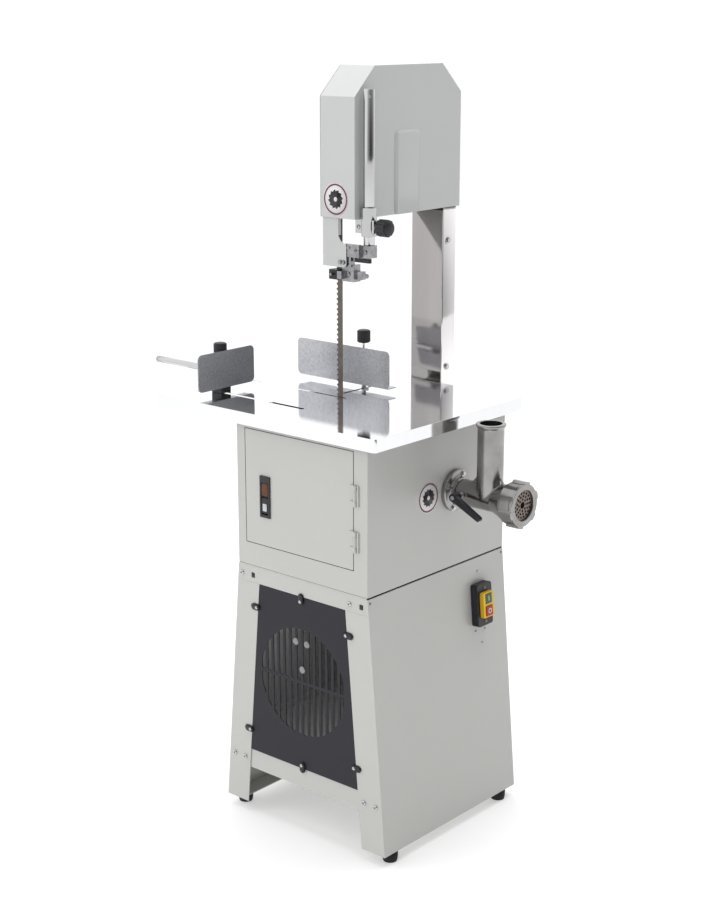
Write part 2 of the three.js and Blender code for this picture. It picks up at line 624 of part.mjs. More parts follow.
add("post_clamp", postClamp(), BRUSHED);
add("post_knob", postKnob(), BLACK).position.set(POST.x + 20 + GAP, POST.y, 1191.5);
add("guide_post", cylinder("z", POST.x, POST.y, POST.r, POST.z0, POST.z1), CHROME);
add("guide_block", guideBlock(), BRUSHED);
add("guide_pad", box(-92, -71.8, -24, BLADE_Y - 0.8, 1086, 1105), BLACK);
const thumb = [...arc(-2, -8, 4, -90, 90, 6), ...arc(-33, -8, 5, 90, 270, 8)];
add("guide_lever", prism("z", thumb, 1122.5, 1130.5), BLACK);
add("blade_guard", bladeGuard(), HEAD_PAINT);

// ---------------------------------------------------------------- grinder
const alongGrinder = (r, from, to, sides = 24) => cylinder("x", GRINDER.y, GRINDER.z, r, from, to, sides);

function grinderFlange() {
  return cut(
    join(alongGrinder(41, CAB.x + GAP, 177), alongGrinder(27.5, 176, 187)),
    alongGrinder(12.4, 160, 182),
    alongGrinder(20.5, 178, 190),
  );
}

const BELL = 295;       // where the barrel has widened to its bell
const FACE = 333;       // the front of the ring nut

function grinderBody() {
  const { y, z, tubeX } = GRINDER;
  const end = FACE - 12;
  const flare = [[0, BELL - 22], [25.5, BELL - 22], [36.4, BELL], [36.4, end], [0, end]];
  return cut(
    join(
      alongGrinder(20, 178.4, 190),
      alongGrinder(25.5, 187.4, 275),
      turned("x", flare).translate(0, y, z),
      cylinder("z", tubeX, y, 25.5, z, 840, 24),
      cylinder("z", tubeX, y, 29, 834, 840, 24),
    ),
    alongGrinder(12, 170, 200),
    alongGrinder(21.5, 192, FACE - 29),
    alongGrinder(30, FACE - 30, FACE),
    cylinder("z", tubeX, y, 21.5, z, 850, 24),
  );
}

// The auger: a core whose radius rises to a ridge that winds along it.
function auger() {
  const around = 10;
  const rings = 24;
  const [x0, x1, core, ridge, turns] = [200, FACE - 30, 9, 20.5, 3.5];
  const profile = (i, j) => {
    const phase = (j / around - (i / rings) * turns) * 2 * Math.PI;
    const radius = core + (ridge - core) * Math.max(0, Math.cos(phase)) ** 3;
    const angle = (j / around) * 2 * Math.PI;
    const x = x0 + ((x1 - x0) * i) / rings;
    return [x, GRINDER.y + radius * Math.cos(angle), GRINDER.z + radius * Math.sin(angle)];
  };
  const positions = [];
  for (let i = 0; i <= rings; i++) for (let j = 0; j < around; j++) positions.push(...profile(i, j));
  const ends = [x0, x1].map((x) => positions.push(x, GRINDER.y, GRINDER.z) / 3 - 1);
  const index = [];
  const at = (i, j) => i * around + (j % around);
  for (let j = 0; j < around; j++) {
    for (let i = 0; i < rings; i++) {
      index.push(at(i, j), at(i + 1, j + 1), at(i + 1, j), at(i, j), at(i, j + 1), at(i + 1, j + 1));
    }
    index.push(ends[0], at(0, j + 1), at(0, j), ends[1], at(rings, j), at(rings, j + 1));
  }
  const screw = new THREE.BufferGeometry();
  screw.setAttribute("position", new THREE.Float32BufferAttribute(positions, 3));
  screw.setIndex(index);
  return join(screw, alongGrinder(11, 178, x0 + 1, 16), alongGrinder(6, x1 - 1, FACE - 12.4, 4));
}

function knife() {
  const hub = 13;
  const arms = [0, 90, 180, 270].map((turn) => {
    const arm = box(-4, 4, 0, 28, -1, 1);
    arm.rotateX(THREE.MathUtils.degToRad(turn));
    return arm.scale(0.95, 1, 1);
  });
  const blades = arms.map((arm) => arm.translate(FACE - 17.2, GRINDER.y, GRINDER.z));
  return cut(join(alongGrinder(hub, FACE - 21, FACE - 13.4, 20), ...blades), alongGrinder(6.4, 300, FACE, 4));
}

function grinderPlate() {
  const { y, z } = GRINDER;
  const holes = [alongGrinder(6.6, FACE - 13, FACE, 8)];
  for (const [ring, count] of [[15, 8], [24, 14]]) {
    for (let i = 0; i < count; i++) {
      const turn = ((i + ring / 40) * 360) / count;
      holes.push(cylinder("x", ...arc(y, z, ring, turn, turn, 1)[0], 2.6, FACE - 13, FACE, 6));
    }
  }
  return cut(alongGrinder(36.2, FACE - 11.7, FACE - 4.6), ...holes);
}

function ringNut() {
  const { y, z } = GRINDER;
  const lugs = Array.from({ length: 6 }, (_, i) => {
    const lug = box(FACE - 30, FACE - 4, 38, 45.5, -6, 6);
    return lug.rotateX((i * Math.PI) / 3 + 0.3).translate(0, y, z);
  });
  return cut(
    join(alongGrinder(40.5, FACE - 32, FACE), ...lugs, alongGrinder(42.5, FACE - 7, FACE)),
    alongGrinder(37.1, 290, FACE - 4.2),
    alongGrinder(29.5, 320, FACE + 5),
  );
}

function grinderLever() {
  const { x, z, y0, y1, reach, drop } = LEVER;
  const lean = THREE.MathUtils.radToDeg(Math.atan2(-drop, reach));
  const tip = [x + reach, z - drop];
  const outline = [...arc(...tip, 5, lean - 90, lean + 90, 6), ...arc(x, z, 8, lean + 90, lean + 270, 8)];
  return join(prism("y", outline, y0, y0 + 11), cylinder("y", x, z, 8.5, y0, y1, 20));
}

add("grinder_flange", grinderFlange(), CAST);
add("grinder_body", grinderBody(), CAST);
add("auger", auger(), CAST);
add("grinder_knife", knife(), BRUSHED);
add("grinder_plate", grinderPlate(), BRUSHED);
add("ring_nut", ringNut(), CAST);
add("grinder_lever", grinderLever(), BLACK);

// ---------------------------------------------------------------- switch, on the sloping side of the stand
const switchBay = new THREE.Group();
switchBay.position.set(standHalf(SWITCH.z), SWITCH.y, SWITCH.z);
switchBay.rotation.y = -Math.atan(STAND.flare / (CAB.bottom - STAND.bottom));
saw.add(switchBay);

const face = SWITCH.deep + GAP;
const pocket = (z) => box(face + 3, face + 20, -10, 11, z - 10.5, z + 10.5);
const bezel = roundedRectangle(-SWITCH.w / 2, SWITCH.w / 2, -SWITCH.h / 2, SWITCH.h / 2, 5);
const housing = prism("x", roundedRectangle(-16.5, 16.5, -24.5, 27, 3), face, face + 9);
const button = (z, proud) => box(face + 6.2, face + 9 + proud, -9.5, 10.5, z - 10, z + 10);
add("switch_plate", prism("x", bezel, 0.6, SWITCH.deep), BLACK, switchBay);
add("switch_box", cut(housing, pocket(14), pocket(-11.5)), YELLOW, switchBay);
add("start_button", button(14, 0.5), GREEN, switchBay);
add("stop_button", button(-11.5, 2), RED, switchBay);

// ---------------------------------------------------------------- origin at the bottom centre of the box
const bounds = new THREE.Box3().setFromObject(saw, true);
const centre = bounds.getCenter(new THREE.Vector3());
saw.position.set(-centre.x, -centre.y, -bounds.min.z);

export default saw;
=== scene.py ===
import json
import math

import bmesh
import bpy
from mathutils import Matrix, Vector


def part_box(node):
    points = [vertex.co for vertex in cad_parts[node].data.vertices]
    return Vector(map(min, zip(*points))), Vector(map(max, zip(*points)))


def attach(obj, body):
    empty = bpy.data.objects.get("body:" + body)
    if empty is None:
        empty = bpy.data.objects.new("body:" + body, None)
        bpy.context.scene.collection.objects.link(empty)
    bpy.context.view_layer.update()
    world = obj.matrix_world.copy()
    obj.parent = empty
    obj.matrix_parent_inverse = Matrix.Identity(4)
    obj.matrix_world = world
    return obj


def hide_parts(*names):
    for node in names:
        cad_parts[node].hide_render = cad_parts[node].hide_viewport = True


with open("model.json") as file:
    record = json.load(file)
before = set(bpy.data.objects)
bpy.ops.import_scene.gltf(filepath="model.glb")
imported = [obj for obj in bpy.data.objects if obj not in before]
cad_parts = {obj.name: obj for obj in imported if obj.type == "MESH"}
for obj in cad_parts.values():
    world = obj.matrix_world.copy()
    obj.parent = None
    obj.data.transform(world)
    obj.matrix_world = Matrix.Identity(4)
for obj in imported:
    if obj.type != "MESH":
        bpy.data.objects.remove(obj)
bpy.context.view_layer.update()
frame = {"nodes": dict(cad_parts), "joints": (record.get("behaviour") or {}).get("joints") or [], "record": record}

MM = 0.001


def centre(node):
    low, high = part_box(node)
    return (low + high) / 2


# Every length below is in millimetres from the cabinet's centre line, with the table's top at TABLE_TOP.
# HOME is that zero point in the frame.
TABLE_TOP = 850
HOME = centre("cabinet_shell")
HOME.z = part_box("table_top")[1].z - TABLE_TOP * MM


def at(x, y, z):
    return HOME + Vector((x, y, z)) * MM


def joint_place(name):
    """A joint's own point, in millimetres."""
    joint = next(j for j in frame["record"]["behaviour"]["joints"] if j["name"] == name)
    return (Vector(joint["pos_m"]) - HOME) / MM


def limits(node):
    """A CAD node's box as ((x0, y0, z0), (x1, y1, z1)) in millimetres."""
    return tuple(tuple((corner - HOME) / MM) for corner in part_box(node))


# ------------------------------------------------------------------------------------------------- camera
CAMERA_PLACE = (2055.3, -2403.9, 1583.4)
AZIMUTH, ELEVATION = math.radians(41.0), math.radians(14.7)
FOCAL_SHARE = 1664.5 / 900  # focal length over the picture's height

camera = bpy.data.objects.new("camera", bpy.data.cameras.new("camera"))
camera.data.sensor_width = 36
camera.data.lens = FOCAL_SHARE * camera.data.sensor_width
camera.data.clip_end = 150
camera.location = at(*CAMERA_PLACE)
camera.rotation_euler = (math.pi / 2 - ELEVATION, 0, AZIMUTH)
bpy.context.scene.collection.objects.link(camera)
bpy.context.scene.camera = camera
bpy.context.scene.view_settings.view_transform = "Standard"


# ---------------------------------------------------------------------------------------------- materials
class Nodes:
    """A short way to make and link shader nodes."""

    def __init__(self, tree):
        self.tree = tree
        tree.nodes.clear()

    def add(self, kind, links=None, **settings):
        node = self.tree.nodes.new(kind)
        for name, value in settings.items():
            if name in node.inputs:
                node.inputs[name].default_value = value
            else:
                setattr(node, name, value)
        for name, source in (links or {}).items():
            self.tree.links.new(source, node.inputs[name])
        return node

    def ramp(self, source, stops):
        """A colour ramp from (place, colour) stops."""
        node = self.add("ShaderNodeValToRGB", {"Fac": source})
        elements = node.color_ramp.elements
        while len(elements) < len(stops):
            elements.new(0.5)
        for element, (place, colour) in zip(elements, stops):
            element.position = place
            element.color = (*colour, 1)
        return node.outputs["Color"]


def shade(colour, factor):
    return tuple(min(1.0, c * factor) for c in colour)


def surface(name, colour, metal, roughness, tone=0.05, spread=0.06, blotch=9.0, grain=400.0, bump=0.05,
            stretch=(1, 1, 1), edge_brightening=0.0, shader=None):
    """A procedural surface: blotches vary its tone and gloss, grain is its bump, and sharp edges take a lighter
    colour by the given amount.
    """
    material = bpy.data.materials.new(name)
    material.use_nodes = True
    make = Nodes(material.node_tree)
    place = make.add("ShaderNodeTexCoord").outputs["Object"]
    mapped = make.add("ShaderNodeMapping", {"Vector": place}, Scale=stretch).outputs["Vector"]
    large = make.add("ShaderNodeTexNoise", {"Vector": mapped}, Scale=blotch, Detail=4.0, Roughness=0.6)
    fine = make.add("ShaderNodeTexNoise", {"Vector": mapped}, Scale=grain, Detail=2.0, Roughness=0.6)
    base = make.ramp(large.outputs["Fac"], [(0.3, shade(colour, 1 - tone)), (0.7, shade(colour, 1 + tone))])
    # Pointy, sharp edges get a lighter colour.
    if edge_brightening:
        bent = make.add("ShaderNodeNewGeometry").outputs["Pointiness"]
        edge = make.ramp(bent, [(0.52, (0, 0, 0)), (0.6, (edge_brightening, edge_brightening, edge_brightening))])
        lighter = (*shade(colour, 1.35), 1)
        base = make.add("ShaderNodeMixRGB", {"Fac": edge, "Color1": base}, Color2=lighter).outputs["Color"]
    low, high = max(0.02, roughness - spread), min(1.0, roughness + spread)
    dull = make.add("ShaderNodeMapRange", {"Value": large.outputs["Fac"]}, **{"To Min": low, "To Max": high})
    relief = make.add("ShaderNodeBump", {"Height": fine.outputs["Fac"]}, Strength=bump, Distance=0.0004)
    links = {"Base Color": base, "Roughness": dull.outputs["Result"], "Normal": relief.outputs["Normal"]}
    skin = make.add("ShaderNodeBsdfPrincipled", links, Metallic=metal, **(shader or {}))
    make.add("ShaderNodeOutputMaterial", {"Surface": skin.outputs["BSDF"]})
    return material


COAT = {"Coat Weight": 0.25, "Coat Roughness": 0.25}
LOOKS = {
    "cabinet_paint": surface("cabinet_paint", (0.505, 0.505, 0.486), 0, 0.36, tone=0.012, shader=COAT),
    "head_paint": surface("head_paint", (0.535, 0.545, 0.54), 0, 0.36, tone=0.012, shader=COAT),
    "panel_paint": surface("panel_paint", (0.012, 0.0122, 0.0185), 0, 0.68, tone=0.1, grain=900, bump=0.35),
    "table_steel": surface("table_steel", (0.84, 0.845, 0.86), 1, 0.07, tone=0.02, spread=0.025, grain=260,
                           bump=0.02, stretch=(0.2, 4, 1)),
    "column_steel": surface("column_steel", (0.82, 0.8, 0.8), 1, 0.1, tone=0.04, spread=0.03, blotch=6,
                            grain=60, bump=0.02, stretch=(3, 3, 0.4)),
    "plate_steel": surface("plate_steel", (0.5, 0.505, 0.53), 1, 0.33, tone=0.2, spread=0.09, blotch=230,
                           grain=700, bump=0.1, edge_brightening=0.25),
    "bright_steel": surface("bright_steel", (0.56, 0.56, 0.565), 1, 0.12, tone=0.03, grain=300, bump=0.02,
                            stretch=(1, 1, 0.15)),
    "dark_steel": surface("dark_steel", (0.16, 0.14, 0.125), 0.9, 0.42, tone=0.2, blotch=60, grain=700,
                          bump=0.1),
    "grinder_metal": surface("grinder_metal", (0.32, 0.31, 0.305), 1, 0.24, tone=0.17, blotch=26, grain=240,
                             bump=0.1, edge_brightening=0.4),
    "machine_iron": surface("machine_iron", (0.26, 0.26, 0.27), 0.9, 0.42, tone=0.12, blotch=30, bump=0.15),
    "black_plastic": surface("black_plastic", (0.009, 0.009, 0.014), 0, 0.42, tone=0.1, grain=900, bump=0.2),
    "rubber": surface("rubber", (0.012, 0.012, 0.012), 0, 0.8, tone=0.15, grain=500, bump=0.25),
    "belt_rubber": surface("belt_rubber", (0.018, 0.018, 0.018), 0, 0.7, tone=0.15, grain=700, bump=0.3),
    "yellow_plastic": surface("yellow_plastic", (0.78, 0.46, 0.01), 0, 0.32, tone=0.04, bump=0.06),
    "green_plastic": surface("green_plastic", (0.02, 0.1, 0.03), 0, 0.3, tone=0.05, bump=0.05),
    "red_plastic": surface("red_plastic", (0.36, 0.02, 0.015), 0, 0.3, tone=0.05, bump=0.05),
    "bronze_plastic": surface("bronze_plastic", (0.12, 0.045, 0.018), 0.5, 0.35, tone=0.2, blotch=60,
                              bump=0.1),
    "motor_paint": surface("motor_paint", (0.11, 0.115, 0.13), 0, 0.4, tone=0.08, bump=0.1),
}
WHITE_VINYL = surface("white_vinyl", (0.72, 0.7, 0.71), 0, 0.35, tone=0.01, bump=0.02)
RED_VINYL = surface("red_vinyl", (0.13, 0.012, 0.02), 0, 0.35, tone=0.03, bump=0.02)
DARK_VINYL = surface("dark_vinyl", (0.015, 0.013, 0.016), 0, 0.35, tone=0.05, bump=0.02)
MILLED = surface("milled_steel", (0.33, 0.33, 0.34), 1, 0.27, tone=0.25, spread=0.07, blotch=110,
                 grain=600, bump=0.08)
OUTLET = surface("outlet_steel", (0.2, 0.165, 0.148), 1, 0.36, tone=0.12, spread=0.07, blotch=90,
                 grain=600, bump=0.1)
# A darker copy of column_steel: painted shade for the column's front face.
SHADED_FRONT_STEEL = surface("shaded_front_steel", (0.35, 0.335, 0.33), 1, 0.1, tone=0.08, spread=0.04, blotch=5, grain=60,
                 bump=0.02, stretch=(3, 3, 0.3))


# ------------------------------------------------------------------------------------------------ geometry
PLACE = {
    "x": lambda u, v, w: (w, u, v),
    "y": lambda u, v, w: (u, w, v),
    "z": lambda u, v, w: (u, v, w),
}
HEAD_HEIGHT = 0.62  # of a screw's or a bolt's head, as a share of its radius


def arc(u, v, r, start, end, steps):
    """The points of an arc between two angles in degrees."""
    angles = [math.radians(start + (end - start) * i / steps) for i in range(steps + 1)]
    return [(u + r * math.cos(a), v + r * math.sin(a)) for a in angles]


def polar(u, v, r, angle):
    return arc(u, v, r, angle, angle, 1)[0]


def ring(u, v, r, sides):
    return arc(u, v, r, 0, 360 - 360 / sides, sides - 1)


def rounded(u0, u1, v0, v1, r, steps=6):
    """The outline of a rectangle with round corners."""
    corners = [(u1 - r, v1 - r, 0), (u0 + r, v1 - r, 90), (u0 + r, v0 + r, 180), (u1 - r, v0 + r, 270)]
    return [point for u, v, start in corners for point in arc(u, v, r, start, start + 90, steps)]


class Solid:
    """Closed shells gathered into one mesh, in millimetres. An outline pushed along x is in (y, z), along y
    in (x, z) and along z in (x, y). The look is the number of a material in the piece's list."""

    def __init__(self):
        self.mesh = bmesh.new()

    def shell(self, faces, look):
        """Gives new faces their look and turns them outward."""
        for face in faces:
            face.material_index = look
            face.smooth = True
        bmesh.ops.recalc_face_normals(self.mesh, faces=faces)
        return self

    def prism(self, axis, outline, start, end, look=0, far=None):
        """An outline pushed from start to end, where it may change to another outline of as many points."""
        ends = (outline, start), (far or outline, end)
        rows = [[self.mesh.verts.new(PLACE[axis](u, v, w)) for u, v in line] for line, w in ends]
        count = len(outline)
        faces = [self.mesh.faces.new(rows[0]), self.mesh.faces.new(rows[1])]
        for i in range(count):
            j = (i + 1) % count
            faces.append(self.mesh.faces.new((rows[0][i], rows[0][j], rows[1][j], rows[1][i])))
        return self.shell(faces, look)

    def box(self, x0, x1, y0, y1, z0, z1, look=0):
        return self.prism("z", [(x0, y0), (x1, y0), (x1, y1), (x0, y1)], z0, z1, look)

    def band(self, axis, inner, outer, start, end, look=0):
        """A hollow prism between two outlines of as many points."""
        lines = (inner, start), (outer, start), (outer, end), (inner, end)
        rows = [[self.mesh.verts.new(PLACE[axis](u, v, w)) for u, v in line] for line, w in lines]
        faces = []
        for near, far in zip(rows, rows[1:] + rows[:1]):
            for i in range(len(inner)):
                j = (i + 1) % len(inner)
                faces.append(self.mesh.faces.new((near[i], near[j], far[j], far[i])))
        return self.shell(faces, look)

    def turned(self, axis, u, v, profile, look=0, steps=64):
        """A body of revolution from (radius, distance along the axis), closed on itself if it begins off the
        axis."""
        rings = []
        for radius, w in profile:
            if radius == 0:
                rings.append([self.mesh.verts.new(PLACE[axis](u, v, w))])
            else:
                points = ring(u, v, radius, steps)
                rings.append([self.mesh.verts.new(PLACE[axis](a, b, w)) for a, b in points])
        if profile[0][0] != 0:
            rings.append(rings[0])
        faces = []
        for near, far in zip(rings, rings[1:]):
            for i in range(steps):
                j = (i + 1) % steps
                corners = [near[i % len(near)], near[j % len(near)], far[j % len(far)], far[i % len(far)]]
                faces.append(self.mesh.faces.new(list(dict.fromkeys(corners))))
        return self.shell(faces, look)

    def rod(self, axis, u, v, r, start, end, look=0, steps=48, chamfer=0.6):
        """A round bar with chamfered ends."""
        step = math.copysign(chamfer, end - start)
        rim = r - chamfer
        profile = [(0, start), (rim, start), (r, start + step), (r, end - step), (rim, end), (0, end)]
        return self.turned(axis, u, v, profile, look, steps)

    def screw_head(self, axis, u, v, base, out, r=4.0, look=0, socket=None):
        """A domed, dished head that stands on the plane at base towards out (+1 or -1). Given a look for the
        socket, a hexagon of that look lies in the dish; a dark look there is painted shade for the socket's
        hollow."""
        h = HEAD_HEIGHT * r
        profile = [(0, 0), (r, 0), (r, 0.3 * h), (0.86 * r, 0.75 * h), (0.6 * r, h), (0.46 * r, h),
                   (0.44 * r, 0.45 * h), (0, 0.4 * h)]
        self.turned(axis, u, v, [(a, base + out * w) for a, w in profile], look, 24)
        # The socket's hexagon: with a dark look it is painted shade in the dish, not a hollow.
        if socket is not None:
            hexagon = arc(u, v, 0.45 * r, 0, 300, 5)
            self.prism(axis, hexagon, base + out * 0.5 * h, base + out * 0.8 * h, socket)

    def hex_bolt(self, axis, u, v, base, out, r=5.5, look=0):
        """A washer and a hexagon head, which its place spins so that no two sit alike."""
        rim = 1.45 * r
        self.turned(axis, u, v, [(0, base), (rim, base), (rim, base + out * 0.9), (0, base + out)], look, 32)
        spin = (u * 7 + v * 3) % 60
        head = arc(u, v, r, spin, spin + 300, 5)
        self.prism(axis, head, base + out, base + out * (1 + HEAD_HEIGHT * r), look)

    def place(self, matrix):
        self.mesh.transform(matrix)
        return self


def soften(obj, bevel, weld=False):
    """Rounds the edges by bevel millimetres, after joining doubled points where weld is set."""
    if weld:
        merge = obj.modifiers.new("weld", "WELD")
        merge.merge_threshold = 1e-5
    if bevel:
        soft = obj.modifiers.new("soft_edges", "BEVEL")
        soft.width = bevel * MM
        soft.segments = 2
        soft.limit_method = "ANGLE"
        soft.angle_limit = math.radians(31)
        soft.harden_normals = True
        soft.use_clamp_overlap = True


def loose(name, solid):
    """An object in the frame that isn't a piece yet."""
    solid.mesh.transform(Matrix.Translation(HOME) @ Matrix.Scale(MM, 4))
    data = bpy.data.meshes.new(name)
    solid.mesh.to_mesh(data)
    solid.mesh.free()
    obj = bpy.data.objects.new(name, data)
    bpy.context.scene.collection.objects.link(obj)
    return obj


def enrol(obj, body, looks, replaces=(), bevel=0.4):
    """Makes an object a piece of the model, with its materials in the order of its faces' look numbers."""
    for look in looks:
        obj.data.materials.append(LOOKS[look] if isinstance(look, str) else look)
    soften(obj, bevel)
    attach(obj, body)
    if replaces:
        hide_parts(*replaces)


def piece(name, solid, body, looks, replaces=(), bevel=0.4):
    """Makes a solid a piece of the model."""
    enrol(loose(name, solid), body, looks, replaces, bevel)


def modified(obj, kind, **settings):
    """Runs one modifier on an object and keeps its result."""
    modifier = obj.modifiers.new(kind.lower(), kind)
    for name, value in settings.items():
        setattr(modifier, name, value)
    bpy.context.view_layer.update()
    shape = bpy.data.meshes.new_from_object(obj.evaluated_get(bpy.context.evaluated_depsgraph_get()))
    obj.modifiers.remove(modifier)
    obj.data = shape


def bored(obj, solid):
    """Cuts a solid out of an object."""
    tool = loose("cutting_tool", solid)
    modified(obj, "BOOLEAN", object=tool, operation="DIFFERENCE", solver="EXACT")
    bpy.data.objects.remove(tool)


# ------------------------------------------------------------------------------------- the CAD's own nodes
SLOT_OF = {part["node"]: part["material_slot"] for part in frame["record"]["subparts"]}
COMMON_EDGE = 0.5  # how far an edge is rounded, where EDGE doesn't say otherwise
EDGE = {
    "cabinet_shell": 1.2, "cabinet_door": 1.0, "stand_side_left": 1.2, "stand_side_right": 1.2,
    "head_shell": 1.4, "head_cover": 1.4, "table_top": 1.4, "column": 0.8, "grille_panel": 0.4,
    "blade_guard": 0.4, "latch_frame": 0.8, "switch_plate": 1.6, "switch_box": 1.4, "start_button": 1.2,
    "stop_button": 1.2, "guide_block": 0.7,
}
SPECIAL_LOOK = {"guide_block": MILLED}
for node, obj in frame["nodes"].items():
    obj.material_slots[0].material = SPECIAL_LOOK.get(node, LOOKS[SLOT_OF[node]])
    soften(obj, EDGE.get(node, COMMON_EDGE), weld=True)


# ---------------------------------------------------------------------------------------------------- feet
def make_foot(node):
    """A ribbed rubber pad under a steel washer."""
    x, y, _ = (centre(node) - HOME) / MM
    (x0, _, low), (x1, _, top) = limits(node)
    r = (x1 - x0) / 2
    foot = Solid()
    pad = [(0, low), (r - 3.2, low), (r - 1.8, low + 0.8), (r - 1.4, low + 3), (r - 0.4, low + 8),
           (r - 0.1, top - 5), (r - 1.2, top - 4.4), (r - 1.2, top - 3.4), (r - 0.4, top - 2.8),
           (r - 0.8, top - 1.2), (0, top - 1.2)]
    foot.turned("z", x, y, pad, 0, 48)
    washer_r = 12
    foot.turned("z", x, y, [(0, top - 1.3), (washer_r, top - 1.3), (washer_r, top), (0, top)], 1, 32)
    piece(f"{node}_pad", foot, "frame", ["rubber", "plate_steel"], [node], bevel=0)


for end in ("front", "back"):
    for side in ("left", "right"):
        make_foot(f"foot_{end}_{side}")


# ------------------------------------------------------------------------------------------ stand hardware
_, (CAB_X1, _, _) = limits("cabinet_shell")
(_, FRONT, STAND_Z0), (STAND_X1, BACK, STAND_Z1) = limits("stand_side_right")
(_, _, PANEL_Z0), (_, _, PANEL_Z1) = limits("grille_panel")
VENT_Z = (PANEL_Z0 + PANEL_Z1) / 2
RAIL_TOP = 536.8
RAIL_SCREWS = {"z": 520, "xs": (-158, 122.6)}
LEG_SCREWS = {"z": 126.5, "xs": (-188, -158.5, 158.5, 188)}
SIDE_SCREWS_Z = 529
PLUGS = {"z": 520, "xs": (-128, 152)}
STUDS = ((-15, 411), (14, 411), (1.5, 356))  # (x, z)
TABS = ((-119, 456), (118, 456), (-142, 192), (138, 192), (0, PANEL_Z1 - 7), (0, PANEL_Z0 + 6))  # (x, z)
DOOR_FREE_EDGE = 132  # where the door's pan ends beside its hinges


def stand_half(z):
    """Half the stand's width at a height."""
    return STAND_X1 - (STAND_X1 - CAB_X1) * (z - STAND_Z0) / (STAND_Z1 - STAND_Z0)


def make_stand_screws():
    """Screws in the rails and the legs, front and back, and one near each upper corner of the side panel."""
    screws = Solid()
    for out, y in ((-1, FRONT), (1, BACK)):
        for row in (RAIL_SCREWS, LEG_SCREWS):
            for x in row["xs"]:
                # The machine_iron hexagons in these bright heads are painted shade for their sockets.
                screws.screw_head("y", x, row["z"], y, out, 5.2, 0, 1)
    for y in (FRONT + 6, BACK - 6):
        screws.screw_head("x", y, SIDE_SCREWS_Z, stand_half(SIDE_SCREWS_Z) - 0.4, 1, 2.6, 1, 1)
    piece("stand_screws", screws, "frame", ["bright_steel", "machine_iron"], bevel=0)


def make_rail_skin():
    """One smooth sheet over the front of the top rail and the legs' upper ends."""
    low = PANEL_Z1 + 0.6
    ends = (-1, low), (1, low), (1, RAIL_TOP), (-1, RAIL_TOP)
    skin = Solid().prism("y", [(side * stand_half(z), z) for side, z in ends], FRONT + 0.1, FRONT - 0.3)
    piece("rail_skin", skin, "frame", ["cabinet_paint"], bevel=0.12)


def make_gap_shadows():
    """Painted shadow: dark strips round the door's opening and along the joint between the cabinet and the stand,
    where the gaps' shade falls.
    """
    (x0, _, z0), (_, _, z1) = limits("cabinet_door")
    x1 = DOOR_FREE_EDGE
    shadow_strips = Solid()
    # A dark band round the door's gap, as painted shadow.
    inner = rounded(x0 - 0.15, x1 + 0.15, z0 - 0.15, z1 + 0.15, 0.4, 2)
    outer = rounded(x0 - 1.1, x1 + 1.1, z0 - 1.1, z1 + 1.1, 0.8, 2)
    shadow_strips.band("y", inner, outer, FRONT - 0.22, FRONT + 1)
    # Dark bars along the cabinet's joint with the stand, as painted shadow of the gap.
    shadow_x, shadow_z = CAB_X1 - 3, RAIL_TOP + 0.7
    for side in (-1, 1):
        shadow_strips.box(side * shadow_x, side * (shadow_x + 2.4), FRONT + 1, BACK - 1, shadow_z, shadow_z + 2.4)
    piece("painted_gap_shadows", shadow_strips, "frame", ["rubber"], bevel=0)


def make_rail_plugs():
    """Square caps that close the cable holes of the top rail."""
    plugs = Solid()
    z = PLUGS["z"]
    for x in PLUGS["xs"]:
        cap = rounded(x - 4.4, x + 4.4, z - 5, z + 5, 1.2, 4)
        crown = rounded(x - 3.6, x + 3.6, z - 4.2, z + 4.2, 1.2, 4)
        plugs.prism("y", cap, FRONT, FRONT - 0.7)
        plugs.prism("y", cap, FRONT - 0.7, FRONT - 1.4, far=crown)
    piece("rail_plugs", plugs, "frame", ["black_plastic"], bevel=0)


def make_vent_studs():
    """Round heads that hold the motor's inner guard behind the vent."""
    profile = [(0, 0), (7.4, 0), (7.4, 1.2), (6.2, 2.2), (2, 2.6), (0, 2.6)]
    studs = Solid()
    for x, z in STUDS:
        studs.turned("y", x, z, [(r, FRONT - proud) for r, proud in profile], 0, 40)
    piece("vent_studs", studs, "frame", ["machine_iron"], bevel=0)


def make_tab(index, x, z):
    """An oval swivel tab that holds the vented panel, with its screw at the inboard end."""
    if x == 0:
        reach = Vector((0, math.copysign(1, z - VENT_Z)))
    else:
        reach = Vector((math.copysign(1, x), 0))
    side = Vector((-reach.y, reach.x))

    def oval(r):
        line = [*arc(7.5, 0, r, -90, 90, 10), *arc(-2, 0, r, 90, 270, 10)]
        spots = [u * reach + v * side for u, v in line]
        return [(x + spot.x, z + spot.y) for spot in spots]

    tab = Solid()
    tab.prism("y", oval(6.6), FRONT - 0.2, FRONT - 2.6)
    tab.prism("y", oval(6.6), FRONT - 2.6, FRONT - 4, far=oval(4.6))
    tab.screw_head("y", x - 2 * reach.x, z - 2 * reach.y, FRONT - 4, -1, 3.4, 1)
    piece(f"panel_tab_{index}", tab, "frame", ["black_plastic", "bright_steel"], bevel=0)


make_stand_screws()
make_rail_skin()
make_gap_shadows()
make_rail_plugs()
make_vent_studs()
for number, place in enumerate(TABS, 1):
    make_tab(number, *place)


